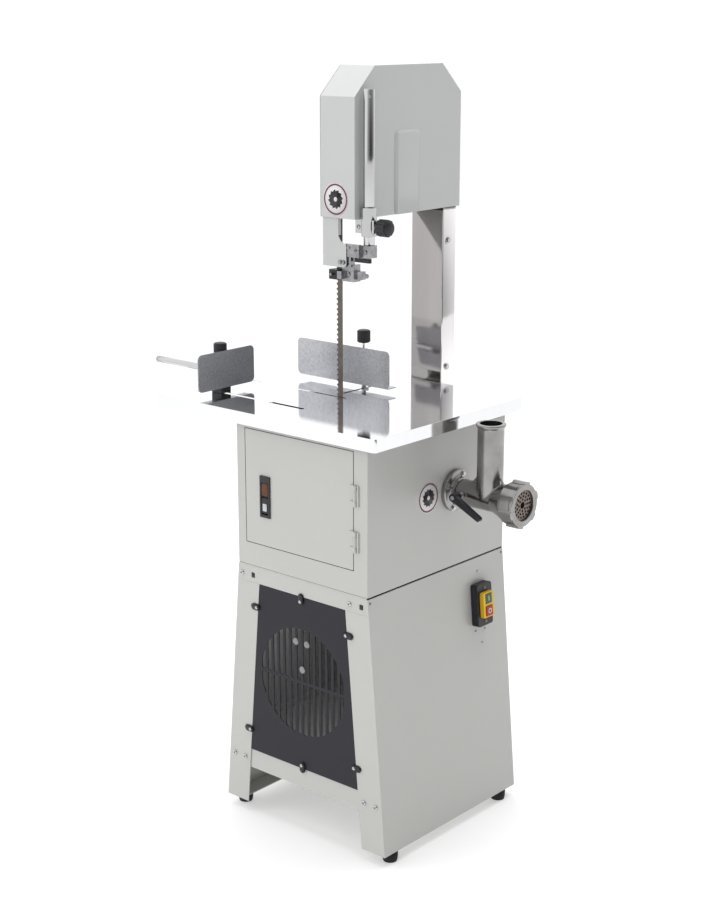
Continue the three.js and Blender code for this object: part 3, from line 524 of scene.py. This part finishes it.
# --------------------------------------------------------------------------------------------------- latch
def make_latch_parts():
    """The dark pull and the bronze button of the flush latch, with a bright insert in the pull."""
    (x0, y0, z0), (x1, y1, z1) = limits("latch_lever")
    rim, face = rounded(x0, x1, z0, z1, 3), rounded(x0 + 1, x1 - 1, z0 + 1, z1 - 1, 2.5)
    pull = Solid()
    pull.prism("y", face, y0, y0 + 1.2, far=rim)
    pull.prism("y", rim, y0 + 1.2, y1)
    pull.prism("y", rounded(x0 + 3, x1 - 3, z0 + 5, z1 - 12, 1.5), y0 - 0.4, y0 + 0.6, 1)
    looks = ["black_plastic", "plate_steel"]
    piece("latch_pull", pull, "latch_lever", looks, ["latch_lever"], bevel=0.3)
    (x0, y0, z0), (x1, y1, z1) = limits("latch_button")
    rim, face = rounded(x0, x1, z0, z1, 3.6), rounded(x0 + 1.2, x1 - 1.2, z0 + 1.2, z1 - 1.2, 3)
    push = Solid()
    push.prism("y", face, y0, y0 + 1.4, far=rim)
    push.prism("y", rim, y0 + 1.4, y1)
    looks = ["bronze_plastic"]
    piece("latch_push", push, "latch_button", looks, ["latch_button"], bevel=0.3)


make_latch_parts()


# --------------------------------------------------------------------------------------------------- signs
def make_sign(name, axis, u, v, base, out, r):
    """A plain round notice: a ring round a toothed disc."""
    def layer(inner, outer, low, high, look, steps):
        profile = [(inner, low), (outer, low), (outer, high), (inner, high)]
        sign.turned(axis, u, v, [(radius, base + out * w) for radius, w in profile], look, steps)

    sign = Solid()
    layer(0, r, 0, 0.35, 0, 96)
    layer(r - 4.4, r - 1.4, 0.2, 0.5, 1, 96)
    teeth = 12
    toothed = []
    for i in range(teeth):
        turn = 360 * i / teeth
        toothed += [polar(u, v, r * 0.5, turn), polar(u, v, r * 0.62, turn + 6)]
    sign.prism(axis, toothed, base + out * 0.3, base + out * 0.48, 2)
    layer(0, r * 0.14, 0.4, 0.56, 0, 32)
    piece(name, sign, "frame", [WHITE_VINYL, RED_VINYL, DARK_VINYL], bevel=0)


(_, HEAD_Y0, HEAD_Z0), (HEAD_X1, _, _) = limits("head_shell")
make_sign("cabinet_sign", "x", -32.5, 695, CAB_X1, 1, 30)
make_sign("head_sign", "y", -72, 1240.5, HEAD_Y0, -1, 31)


# --------------------------------------------------------------------------------------- column and head
COLUMN_WALL = 2
COLUMN_BOLTS_Z = (1138, 875.5)
HEAD_BOLT = (18, 1432)  # (y, z) on the head's side
EMBOSS_PROUD = 4
EMBOSS_Y0, EMBOSS_Y1, EMBOSS_TOP = 98, 160, 1360
EMBOSS_SLOPE = ((7, 0), (5.5, 0.3), (3.6, 1.6), (1.6, 3.2), (0, 3.9), (-3, 4.1))  # (larger by, proud by)


def make_column_tube():
    """The folded column; its front face takes a darker copy of the column's steel as painted shade."""
    (x0, y0, z0), (x1, y1, z1) = limits("column")
    inner = rounded(x0 + COLUMN_WALL, x1 - COLUMN_WALL, y0 + COLUMN_WALL, y1 - COLUMN_WALL, 1.2)
    tube = Solid().band("z", inner, rounded(x0, x1, y0, y1, 2.4), z0, z1)
    tube.mesh.normal_update()
    # Faces looking to the front get the darker steel, as painted shade.
    for face in tube.mesh.faces:
        if face.normal.y < -0.95:
            face.material_index = 1
    piece("column_tube", tube, "frame", ["column_steel", SHADED_FRONT_STEEL], ["column"], bevel=0)


def make_column_bolts():
    """Two bolts on the column's side and one on the head's."""
    (_, y0, _), (x1, y1, _) = limits("column")
    bolts = Solid()
    for z in COLUMN_BOLTS_Z:
        bolts.hex_bolt("x", (y0 + y1) / 2 - 5, z, x1, 1, 5.2)
    bolts.hex_bolt("x", *HEAD_BOLT, HEAD_X1 - EMBOSS_PROUD, 1, 4.6)
    piece("column_bolts", bolts, "frame", ["bright_steel"], bevel=0.3)


def make_emboss():
    """A pressed stiffening panel on the head's side, with soft slopes all round."""
    side = HEAD_X1 - EMBOSS_PROUD
    panel = Solid()
    rows = []
    for grow, proud in EMBOSS_SLOPE:
        line = rounded(EMBOSS_Y0 - grow, EMBOSS_Y1 + grow, HEAD_Z0 - 20, EMBOSS_TOP + grow, 5 + grow, 8)
        line = [(side + proud, y, max(z, HEAD_Z0 + 0.2)) for y, z in line]
        rows.append([panel.mesh.verts.new(point) for point in line])
    for near, far in zip(rows, rows[1:]):
        for i in range(len(near)):
            j = (i + 1) % len(near)
            panel.mesh.faces.new((near[i], near[j], far[j], far[i]))
    panel.mesh.faces.new(rows[0])
    panel.mesh.faces.new(rows[-1])
    panel.shell(panel.mesh.faces[:], 0)
    piece("head_emboss", panel, "frame", ["head_paint"], bevel=0)


make_column_tube()
make_column_bolts()
make_emboss()


# -------------------------------------------------------------------------------------------------- blade
BLADE_THICK = 0.7
TOOTH_PITCH = 10
TOOTH_LINE = (0, 4.2, 3.4)  # how far in the edge lies at a tooth's tip and at two places in its gullet
TOOTH_SET = 0.175  # how far each tip leans out of the band, to one side and the other in turn
GUM_LINE = 4.8  # where the plain band begins


def make_blade():
    """The closed band with its teeth on the feed side."""
    (x0, y0, z0), (x1, y1, z1) = limits("saw_blade")
    thick = BLADE_THICK
    r = (y1 - y0) / 2 - thick / 2
    y, low, high = (y0 + y1) / 2, z0 + thick / 2 + r, z1 - thick / 2 - r
    straight, curve = high - low, math.pi * r
    whole = 2 * (straight + curve)

    def along(s):
        """The point and outward normal at distance s round the loop, in (y, z)."""
        s %= whole
        if s < straight:
            return (y - r, low + s), (-1, 0)
        s -= straight
        if s < curve:
            a = math.pi - s / r
            return (y + r * math.cos(a), high + r * math.sin(a)), (math.cos(a), math.sin(a))
        s -= curve
        if s < straight:
            return (y + r, high - s), (1, 0)
        a = -(s - straight) / r
        return (y + r * math.cos(a), low + r * math.sin(a)), (math.cos(a), math.sin(a))

    steps = len(TOOTH_LINE) * int(whole / TOOTH_PITCH)
    blade = Solid()
    rows = []
    for i in range(steps):
        (py, pz), (ny, nz) = along(whole * i / steps)
        tooth, spot = divmod(i, len(TOOTH_LINE))
        edge = x0 + TOOTH_LINE[spot]
        lean = 0 if spot else TOOTH_SET * (1 if tooth % 2 else -1)
        row = [(edge, thick / 2 + lean), (x0 + GUM_LINE, thick / 2), (x1, thick / 2), (x1, -thick / 2),
               (x0 + GUM_LINE, -thick / 2), (edge, -thick / 2 + lean)]
        rows.append([blade.mesh.verts.new((x, py + ny * d, pz + nz * d)) for x, d in row])
    faces = []
    for near, far in zip(rows, rows[1:] + rows[:1]):
        for i in range(len(near)):
            j = (i + 1) % len(near)
            faces.append(blade.mesh.faces.new((near[i], near[j], far[j], far[i])))
    blade.shell(faces, 0)
    for face in faces:
        face.smooth = False
    piece("toothed_band", blade, "frame", ["dark_steel"], ["saw_blade"], bevel=0)


make_blade()


# ------------------------------------------------------------------------------------------- guide assembly
BLOCK_FACE, ARM_FACE = -14, -20.7  # the fronts of the guide block and its arm, in y
LUG_Z0, LUG_Z1 = 1178, 1205  # the clamp's lugs
POST_KNOB_Z = joint_place("post_knob_turn").z


def make_guide_post():
    """The round post, and the grub screw set flush in it near its top."""
    (x0, y0, z0), (x1, y1, z1) = limits("guide_post")
    x, y, r = (x0 + x1) / 2, (y0 + y1) / 2, (x1 - x0) / 2
    post = Solid().rod("z", x, y, r - 0.05, z0, z1, 0, 64, 1.2)
    piece("ground_post", post, "blade_guide", ["bright_steel"], ["guide_post"], bevel=0)
    screw_r, socket_shade_r, depth, height, turn = 2.3, 1.4, 2, 1434.5, math.radians(-40)
    screw = Solid()
    foot, top = r - depth, r - 0.01
    screw.turned("x", 0, 0, [(0, foot), (screw_r, foot), (screw_r, top), (0, top)], 0, 24)
    # A black hexagon flush in the screw's face is painted shade for its socket's hollow.
    screw.prism("x", arc(0, 0, socket_shade_r, 0, 300, 5), foot, top + 0.04, 1)
    screw.place(Matrix.Translation((x, y, height)) @ Matrix.Rotation(turn, 4, "Z"))
    looks = ["plate_steel", "black_plastic"]
    piece("post_grub_screw", screw, "blade_guide", looks, bevel=0)


def make_post_clamp():
    """The sleeve round the post, its lugs to the head and to the clamp knob, and a screw."""
    (x0, _, z0), (_, y1, z1) = limits("post_clamp")
    (px0, py0, _), (px1, py1, _) = limits("guide_post")
    x, y, hole = (px0 + px1) / 2, (py0 + py1) / 2, (px1 - px0) / 2 + 0.3
    outer = y1 - y
    rim = outer - 0.7
    clamp = Solid()
    profile = [(hole, z0), (rim, z0), (outer, z0 + 0.7), (outer, z1 - 0.7), (rim, z1), (hole, z1)]
    clamp.turned("z", x, y, profile)
    clamp.box(x0, x - 12.4, y - 5, y + 5, LUG_Z0, HEAD_Z0 - 1.5)
    clamp.box(x + 12.2, x + 18, y - 7, y + 7, LUG_Z0, LUG_Z1)
    clamp.rod("x", y, POST_KNOB_Z, 6, x + 17.8, x + 19.9)
    # The machine_iron hexagon in this head is painted shade for its socket.
    clamp.screw_head("y", x0 + 8, LUG_Z0 + 12, y - 5, -1, 4.4, 0, 1)
    looks = ["bright_steel", "machine_iron"]
    piece("clamp_sleeve", clamp, "frame", looks, ["post_clamp"], bevel=0.5)


def make_guide_screws():
    """Socket screws, bolts and studs on the guide block, each placed by the two numbers after its axis."""
    screws = Solid()
    # The machine_iron hexagons in the socket heads here are painted shade for their sockets.
    screws.screw_head("y", -8, 1144, BLOCK_FACE, -1, 4.6, 0, 1)
    screws.screw_head("y", -27, 1146, ARM_FACE, -1, 3.2)
    screws.hex_bolt("y", -44, 1150, ARM_FACE, -1, 3.0)
    screws.screw_head("y", -50, 1098, BLOCK_FACE, -1, 4.6, 0, 1)
    screws.rod("y", -63, 1121, 4, -18, -27, 0, 24)
    screws.hex_bolt("y", -55, 1121, -22, -1, 3.4)
    screws.rod("x", -3, 1096, 4.4, -16, -11, 0, 24)
    screws.rod("y", -82, 1096, 2.6, -24, -31, 0, 24)
    piece("guide_screws", screws, "blade_guide", [MILLED, "machine_iron"], bevel=0.3)


make_guide_post()
make_post_clamp()
make_guide_screws()


# --------------------------------------------------------------------------------------------------- knobs
KNOB_HEIGHT = 26  # of the two clamp knobs on the table


def fluted(u, v, r, flutes=16, depth=0.8):
    """A round outline with flutes."""
    count = flutes * 8
    points = []
    for i in range(count):
        a = 2 * math.pi * i / count
        radius = r - depth * max(0.0, math.cos(a * flutes)) ** 2
        points.append((u + radius * math.cos(a), v + radius * math.sin(a)))
    return points


def make_clamp_knob(node, screw_r):
    """A knob, the screw it turns and the nut under the table."""
    (x0, y0, z0), (x1, y1, z1) = limits(node)
    x, y, r = (x0 + x1) / 2, (y0 + y1) / 2, (x1 - x0) / 2
    base = z1 - KNOB_HEIGHT
    knob = Solid()
    knob.prism("z", fluted(x, y, r), base + 1.6, z1 - 2.4)
    knob.turned("z", x, y, [(0, base), (r * 0.82, base), (r * 0.9, base + 1.7), (0, base + 1.7)])
    crown = [(0, z1 - 2.5), (r * 0.93, z1 - 2.5), (r * 0.86, z1 - 1), (r * 0.6, z1 - 0.1), (0, z1)]
    knob.turned("z", x, y, crown)
    knob.rod("z", x, y, screw_r, z0, base + 0.5, 1, 32)
    nut = arc(x, y, 8, 0, 300, 5)
    knob.prism("z", nut, z0 + 2, z0 + 8, 1)
    looks = ["black_plastic", "bright_steel"]
    piece(f"{node}_fluted", knob, node, looks, [node], bevel=0.5)


def make_post_knob():
    """The deep-fluted knob that clamps the guide post."""
    (x0, y0, z0), (x1, y1, z1) = limits("post_knob")
    y, z, r = (y0 + y1) / 2, (z0 + z1) / 2, (z1 - z0) / 2
    knob = Solid()
    knob.prism("x", fluted(y, z, r, 10, 1.6), x0 + 7, x1 - 5)
    neck = [(0, 0), (4.2, 0), (4.2, 2.4), (r * 0.66, 2.8), (r * 0.9, 7.2), (0, 7.2)]
    knob.turned("x", y, z, [(radius, x0 + w) for radius, w in neck])
    crown = [(0, 5.1), (r * 0.89, 5.1), (r * 0.78, 1.6), (r * 0.5, 0.3), (0, 0)]
    knob.turned("x", y, z, [(radius, x1 - w) for radius, w in crown])
    looks = ["black_plastic"]
    piece("post_knob_fluted", knob, "post_knob", looks, ["post_knob"], bevel=0.8)


make_clamp_knob("pusher_knob", 3.9)
make_clamp_knob("fence_knob", 2.4)
make_post_knob()


def make_pusher_rod():
    """The pusher's bright handle rod."""
    (x0, y0, z0), (x1, y1, z1) = limits("pusher_handle")
    rod = Solid().rod("x", (y0 + y1) / 2, (z0 + z1) / 2, (z1 - z0) / 2, x0, x1, 0, 48, 1.0)
    piece("pusher_rod", rod, "pusher", ["bright_steel"], ["pusher_handle"], bevel=0)


make_pusher_rod()


# ------------------------------------------------------------------------------------------------- grinder
(FLANGE_X0, FLANGE_Y0, FLANGE_Z0), (FLANGE_X1, FLANGE_Y1, FLANGE_Z1) = limits("grinder_flange")
AXIS_Y, AXIS_Z = (FLANGE_Y0 + FLANGE_Y1) / 2, (FLANGE_Z0 + FLANGE_Z1) / 2
TUBE_X = 252  # the feed tube's middle
BORE_R = 21.5  # inside the barrel and the feed tube
LUG_COUNT, LUG_TURN = 6, 0.3  # round the ring nut, and where the first one is, in radians
LUG = ((38.5, -9.5), (44.3, -7.4), (45.3, 0), (44.3, 7.4), (38.5, 9.5))  # (out from the axis, to the side)
PLATE_HOLE_R = 2.4
PLATE_RINGS = ((11.2, 8), (17.2, 13), (23.4, 18))  # (radius of the ring, number of holes)


def make_flange():
    """The round flange with its neck and four bolts."""
    flange = Solid()
    big, neck, socket, shaft = (FLANGE_Y1 - FLANGE_Y0) / 2, 27, 20.5, 12.4
    x0, x1 = FLANGE_X0, FLANGE_X1
    face = x0 + 9.7
    profile = [(shaft, x0), (big, x0), (big, x0 + 8), (big - 1.6, face), (neck + 4, face),
               (neck + 1, x0 + 11.5), (neck, x0 + 15), (neck, x1 - 2), (neck - 2, x1), (socket, x1),
               (socket, x1 - 9), (shaft, x1 - 9)]
    flange.turned("x", AXIS_Y, AXIS_Z, profile, 0, 96)
    for turn in (65, 155, 245, 335):
        flange.hex_bolt("x", *polar(AXIS_Y, AXIS_Z, big - 6, turn), face, 1, 4.4, 1)
    looks = ["grinder_metal", "plate_steel"]
    piece("mount_flange", flange, "frame", looks, ["grinder_flange"])


def make_grinder_body():
    """Barrel, feed tube and bell grown together as one casting, then bored."""
    (x0, _, _), (x1, _, z1) = limits("grinder_body")
    face, rim = x1 - 0.4, z1 - 0.4
    barrel = [(0, x0), (20, x0), (20, x0 + 9), (25.2, x0 + 9), (25.5, x0 + 90), (30, x0 + 102),
              (36.2, x0 + 118), (36.4, face), (0, face)]
    tube = [(0, AXIS_Z), (25.4, AXIS_Z), (25.5, z1 - 9), (28.8, z1 - 5), (29, rim), (0, rim)]
    fin = [(TUBE_X - 46, AXIS_Z + 18), (TUBE_X - 24, AXIS_Z + 44), (TUBE_X + 24, AXIS_Z + 44),
           (TUBE_X + 44, AXIS_Z + 18)]
    outside = Solid()
    outside.turned("x", AXIS_Y, AXIS_Z, barrel)
    outside.turned("z", TUBE_X, AXIS_Y, tube)
    outside.prism("y", fin, AXIS_Y - 3, AXIS_Y + 3)
    body = loose("grinder_casting", outside)
    modified(body, "REMESH", mode="VOXEL", voxel_size=1.1 * MM, use_smooth_shade=True)
    modified(body, "SMOOTH", factor=0.5, iterations=6)
    bore = [(0, x0 - 5), (12, x0 - 5), (12, x0 + 13), (BORE_R, x0 + 13), (BORE_R, x1 - 17), (30, x1 - 17),
            (30, x1 + 4), (0, x1 + 4)]
    throat = [(0, AXIS_Z), (BORE_R, AXIS_Z), (BORE_R, z1 + 4), (0, z1 + 4)]
    bored(body, Solid().turned("x", AXIS_Y, AXIS_Z, bore))
    bored(body, Solid().turned("z", TUBE_X, AXIS_Y, throat))
    for polygon in body.data.polygons:
        polygon.use_smooth = True
    edges = body.modifiers.new("sharp_rims", "EDGE_SPLIT")
    edges.split_angle = math.radians(50)
    enrol(body, "frame", ["grinder_metal"], ["grinder_body"], bevel=0)


def make_ring_nut():
    """The nut that holds the plate, with lugs round it and an inward lip at its face."""
    (x0, _, _), (x1, _, _) = limits("ring_nut")
    nut = Solid()
    profile = [(37.1, x0), (39.8, x0), (40.5, x0 + 1), (40.5, x1 - 8), (41.2, x1 - 7), (41.2, x1 - 0.8),
               (40.4, x1), (30.4, x1), (29.6, x1 - 0.8), (29.6, x1 - 4.2), (37.1, x1 - 4.2)]
    nut.turned("x", AXIS_Y, AXIS_Z, profile, 0, 96)
    for i in range(LUG_COUNT):
        a = i * 2 * math.pi / LUG_COUNT + LUG_TURN
        out, side = Vector((math.cos(a), math.sin(a))), Vector((-math.sin(a), math.cos(a)))
        outline = [tuple(Vector((AXIS_Y, AXIS_Z)) + out * u + side * v) for u, v in LUG]
        nut.prism("x", outline, x0 + 2.2, x1 - 0.5)
    piece("ring_nut_lugged", nut, "ring_nut", ["grinder_metal"], ["ring_nut"], bevel=0.7)


def make_plate():
    """The perforated plate, drilled right through round its middle hole."""
    (x0, _, _), (x1, _, _) = limits("grinder_plate")
    middle, outer = 6.6, 36.3
    disc = Solid().turned("x", AXIS_Y, AXIS_Z, [(middle, x0), (outer, x0), (outer, x1), (middle, x1)], 0, 96)
    plate = loose("drilled_plate", disc)
    holes = Solid()
    for radius, count in PLATE_RINGS:
        for i in range(count):
            spot = polar(AXIS_Y, AXIS_Z, radius, 360 * i / count)
            holes.rod("x", *spot, PLATE_HOLE_R, x0 - 1, x1 + 1, 0, 14, 0.1)
    bored(plate, holes)
    enrol(plate, "frame", [OUTLET], ["grinder_plate"], bevel=0.25)


def make_grinder_lever():
    """The clamp's lever, from its hub on the joint's axis down to its tip."""
    (_, y0, z0), (x1, y1, _) = limits("grinder_lever")
    hub = Vector((joint_place("grinder_lever_turn").x, joint_place("grinder_lever_turn").z))
    tip = Vector((x1 - 5.4, z0 + 5.4))
    reach = (tip - hub).normalized()
    turn = math.degrees(math.atan2(reach.y, reach.x))
    lever = Solid()
    outline = [*arc(*tip, 4.8, turn - 90, turn + 90, 10), *arc(*hub, 7, turn + 90, turn + 270, 10)]
    lever.prism("y", outline, y0 + 1, y0 + 10)
    lever.rod("y", *hub, 8.4, y0, y0 + 20, 0, 40, 1.2)
    lever.rod("y", *hub, 5.6, y0 + 19, y1, 1, 32)
    lever.screw_head("y", *hub, y0, -0.1, 4.2, 1)
    looks = ["black_plastic", "plate_steel"]
    piece("clamp_lever", lever, "grinder_lever", looks, ["grinder_lever"], bevel=1.4)


make_flange()
make_grinder_body()
make_ring_nut()
make_plate()
make_grinder_lever()


# --------------------------------------------------------------------------------------------- drive train
SHAFT_HOLE = 10.4


def make_band_wheel(node, body):
    """A spoked cast wheel with a crowned rim, made as a web with five round holes."""
    (x0, y0, z0), (_, y1, z1) = limits(node)
    x, y, z, r = x0 + 13, (y0 + y1) / 2, (z0 + z1) / 2, (z1 - z0) / 2
    outline = [(SHAFT_HOLE, -13), (21, -13), (22, -12), (22, -3), (r - 14, -3), (r - 10, -9), (r - 0.6, -9),
               (r, 0), (r - 0.6, 9), (r - 10, 9), (r - 14, 3), (22, 3), (22, 16), (21, 17), (SHAFT_HOLE, 17)]
    wheel = loose(f"{node}_cast", Solid().turned("x", y, z, [(a, x + w) for a, w in outline], 0, 144))
    holes = Solid()
    count, ring_r, hole_r = 5, 72, 24
    for i in range(count):
        holes.rod("x", *polar(y, z, ring_r, 360 * i / count), hole_r, x - 20, x + 20, 0, 48, 0.1)
    bored(wheel, holes)
    enrol(wheel, body, ["machine_iron"], [node], bevel=0.5)


def wrap(y1, z1, r1, y2, z2, r2, steps):
    """The outline round two circles, as two arcs and their outer tangents, in (y, z)."""
    along = math.degrees(math.atan2(z2 - z1, y2 - y1))
    lean = math.degrees(math.acos((r1 - r2) / math.hypot(y2 - y1, z2 - z1)))
    first = arc(y1, z1, r1, along + lean, along + 360 - lean, steps)
    return first + arc(y2, z2, r2, along - lean, along + lean, steps)


def make_pulleys_and_belt():
    """The two grooved pulleys and the belt round them."""
    (belt_x0, _, _), (belt_x1, _, _) = limits("drive_belt")
    x = (belt_x0 + belt_x1) / 2
    wraps = []
    for node, body in (("shaft_pulley", "lower_drive"), ("motor_pulley", "motor_pulley")):
        (x0, y0, z0), (x1, y1, z1) = limits(node)
        y, z, rim = (y0 + y1) / 2, (z0 + z1) / 2, (z1 - z0) / 2
        outline = [(SHAFT_HOLE, -9), (rim - 0.6, -9), (rim, -8.4), (rim, -5.4), (rim - 8, -5.4),
                   (rim - 8, 5.4), (rim, 5.4), (rim, 8.4), (rim - 0.6, 9), (SHAFT_HOLE, 9)]
        pulley = Solid().turned("x", y, z, [(r, x + w) for r, w in outline], 0, 96)
        if node == "motor_pulley":
            pulley.rod("x", y, z, 10.5, x0, x1, 0, 32)
        piece(f"{node}_turned", pulley, body, ["machine_iron"], [node], bevel=0)
        wraps += [y, z, rim - 7.7]
    y1, z1, r1, y2, z2, r2 = wraps
    thick = 6.7
    inner, outer = wrap(*wraps, 48), wrap(y1, z1, r1 + thick, y2, z2, r2 + thick, 48)
    belt = Solid().band("x", inner, outer, belt_x0, belt_x1)
    piece("rubber_belt", belt, "frame", ["belt_rubber"], ["drive_belt"], bevel=0.4)


def make_motor():
    """A finned motor with end bells, feet and a terminal box."""
    (x0, y0, z0), (x1, y1, z1) = limits("motor_body")
    _, y, z = (centre("motor_pulley") - HOME) / MM
    r, fins = (y1 - y0) / 2, 36
    root, tip = r - 6, r - 0.4
    comb = []
    for i in range(fins):
        for radius, part in ((root, -0.28), (tip, -0.14), (tip, 0.14), (root, 0.28)):
            comb.append(polar(y, z, radius, 360 * (i + part) / fins))
    motor = Solid()
    motor.prism("x", comb, x0 + 14, x1 - 12)
    left_bell = [(0, 0), (44, 0), (50, 2), (root, 8), (r - 3, 14.2), (0, 14.2)]
    motor.turned("x", y, z, [(radius, x0 + w) for radius, w in left_bell])
    right_bell = [(0, 12.2), (r - 3, 12.2), (root, 6), (40, 1), (36, 0), (0, 0)]
    motor.turned("x", y, z, [(radius, x1 - w) for radius, w in right_bell])
    for near, far in ((y - 60, y - 35), (y + 35, y + 60)):
        motor.box(x0 + 30, x1 - 30, near, far, z0, z - 30)
    lid = z1 - 6
    motor.box(-70, 20, y - 34, y + 34, z + 50, lid)
    motor.box(-70, 20, y - 35, y + 35, lid - 0.2, z1)
    piece("finned_motor", motor, "frame", ["motor_paint"], ["motor_body"], bevel=0.8)


make_band_wheel("lower_wheel", "lower_drive")
make_band_wheel("upper_wheel", "upper_wheel")
make_pulleys_and_belt()
make_motor()


# -------------------------------------------------------------------------------------------------- switch
PLATE_DEEP = 16.4  # the switch's back plate, between the stand's panel and its own front
BUTTON_PROUD = 9.8  # the start button's face, in front of the plate's
PLATE_SCREWS = (-34, 35)  # up the plate's middle line
PANEL_SCREWS = ((2, 66), (-13, -56), (18, -58), (6, -84))  # (across, up) from the plate's middle


def make_switch_marks():
    """Screws in the switch's plate and round it, and I and 0 on the buttons, along the sloping panel."""
    joint = next(j for j in frame["joints"] if j["name"] == "start_press")
    out = Vector(joint["axis"]).normalized()
    up = Vector((0, 1, 0)).cross(out) * -1
    plate = (centre("switch_plate") - HOME) / MM
    turn = Matrix((out, (0, 1, 0), up)).transposed().to_4x4()
    to_panel = Matrix.Translation(plate) @ turn
    half = PLATE_DEEP / 2
    screws = Solid()
    for v in PLATE_SCREWS:
        screws.screw_head("x", 0, v, half, 1, 3.2, 0, 0)
    for u, v in PANEL_SCREWS:
        # The machine_iron hexagons in these bright heads are painted shade for their sockets.
        screws.screw_head("x", u, v, -half - 0.4, 1, 2.9, 1, 0)
    looks = ["machine_iron", "bright_steel"]
    piece("switch_screws", screws.place(to_panel), "frame", looks, bevel=0)
    start_face = half + BUTTON_PROUD
    bar = Solid().box(start_face, start_face + 0.5, -0.5, 1.5, 9, 19)
    piece("start_mark", bar.place(to_panel), "start_button", [WHITE_VINYL], bevel=0)
    stop_face = start_face + 1.5
    profile = [(3.4, stop_face), (5.2, stop_face), (5.2, stop_face + 0.5), (3.4, stop_face + 0.5)]
    circle = Solid().turned("x", 0.5, -11.5, profile, 0, 32)
    piece("stop_mark", circle.place(to_panel), "stop_button", [WHITE_VINYL], bevel=0)


make_switch_marks()


# --------------------------------------------------------------------------------------- floor and lights
FLOOR_REACH = 60  # metres
FLOOR_TONE, FLOOR_GLOW = 0.68, 0.37
DIM_SIDE = (0.97, -0.22, -0.05)  # the light round the machine is dimmest from this side
AIM = (0, 0, 0.8)  # where the large lights point


def make_floor():
    """A wide pale floor. Its own glow keeps it even."""
    far = FLOOR_REACH
    mesh = bmesh.new()
    corners = (-far, -far), (far, -far), (far, far), (-far, far)
    mesh.faces.new([mesh.verts.new((x, y, 0)) for x, y in corners])
    data = bpy.data.meshes.new("studio_floor")
    mesh.to_mesh(data)
    floor = bpy.data.objects.new("studio_floor", data)
    bpy.context.scene.collection.objects.link(floor)
    material = bpy.data.materials.new("studio_floor")
    material.use_nodes = True
    make = Nodes(material.node_tree)
    paper = make.add("ShaderNodeBsdfDiffuse", Color=(FLOOR_TONE, FLOOR_TONE, FLOOR_TONE, 1))
    glow = make.add("ShaderNodeEmission", Color=(1, 1, 1, 1), Strength=FLOOR_GLOW)
    both = make.add("ShaderNodeAddShader")
    make.tree.links.new(paper.outputs["BSDF"], both.inputs[0])
    make.tree.links.new(glow.outputs["Emission"], both.inputs[1])
    make.add("ShaderNodeOutputMaterial", {"Surface": both.outputs["Shader"]})
    data.materials.append(material)


def add_light(name, place, target, size, power):
    """A rectangular lamp that polished steel doesn't mirror."""
    data = bpy.data.lights.new(name, "AREA")
    data.shape = "RECTANGLE"
    data.size, data.size_y = size
    data.energy = power
    light = bpy.data.objects.new(name, data)
    light.location = Vector(place)
    light.visible_glossy = False
    light.rotation_euler = (Vector(target) - Vector(place)).to_track_quat("-Z", "Y").to_euler()
    bpy.context.scene.collection.objects.link(light)


def make_world():
    """Soft light from all round that fades towards the dim side."""
    world = bpy.data.worlds.new("studio")
    bpy.context.scene.world = world
    world.use_nodes = True
    make = Nodes(world.node_tree)
    way = make.add("ShaderNodeTexCoord").outputs["Generated"]
    toward = make.add("ShaderNodeVectorMath", {"Vector": way}, operation="DOT_PRODUCT")
    toward.inputs[1].default_value = DIM_SIDE
    stops = [(0.0, (1.2, 1.2, 1.2)), (0.5, (0.5, 0.5, 0.5)), (1.0, (0.04, 0.04, 0.045))]
    glow = make.ramp(toward.outputs["Value"], stops)
    back = make.add("ShaderNodeBackground", {"Color": glow}, Strength=1.0)
    make.add("ShaderNodeOutputWorld", {"Surface": back.outputs["Background"]})


make_floor()
make_world()
add_light("key", place=(-2.2, -3.6, 3.2), target=AIM, size=(2.0, 2.0), power=22)
add_light("top", place=(0.0, 0.4, 4.4), target=AIM, size=(3.0, 3.0), power=90)
add_light("inside", place=at(0, FRONT + 16, 420), target=at(0, 100, 300), size=(0.2, 0.08), power=0.16)
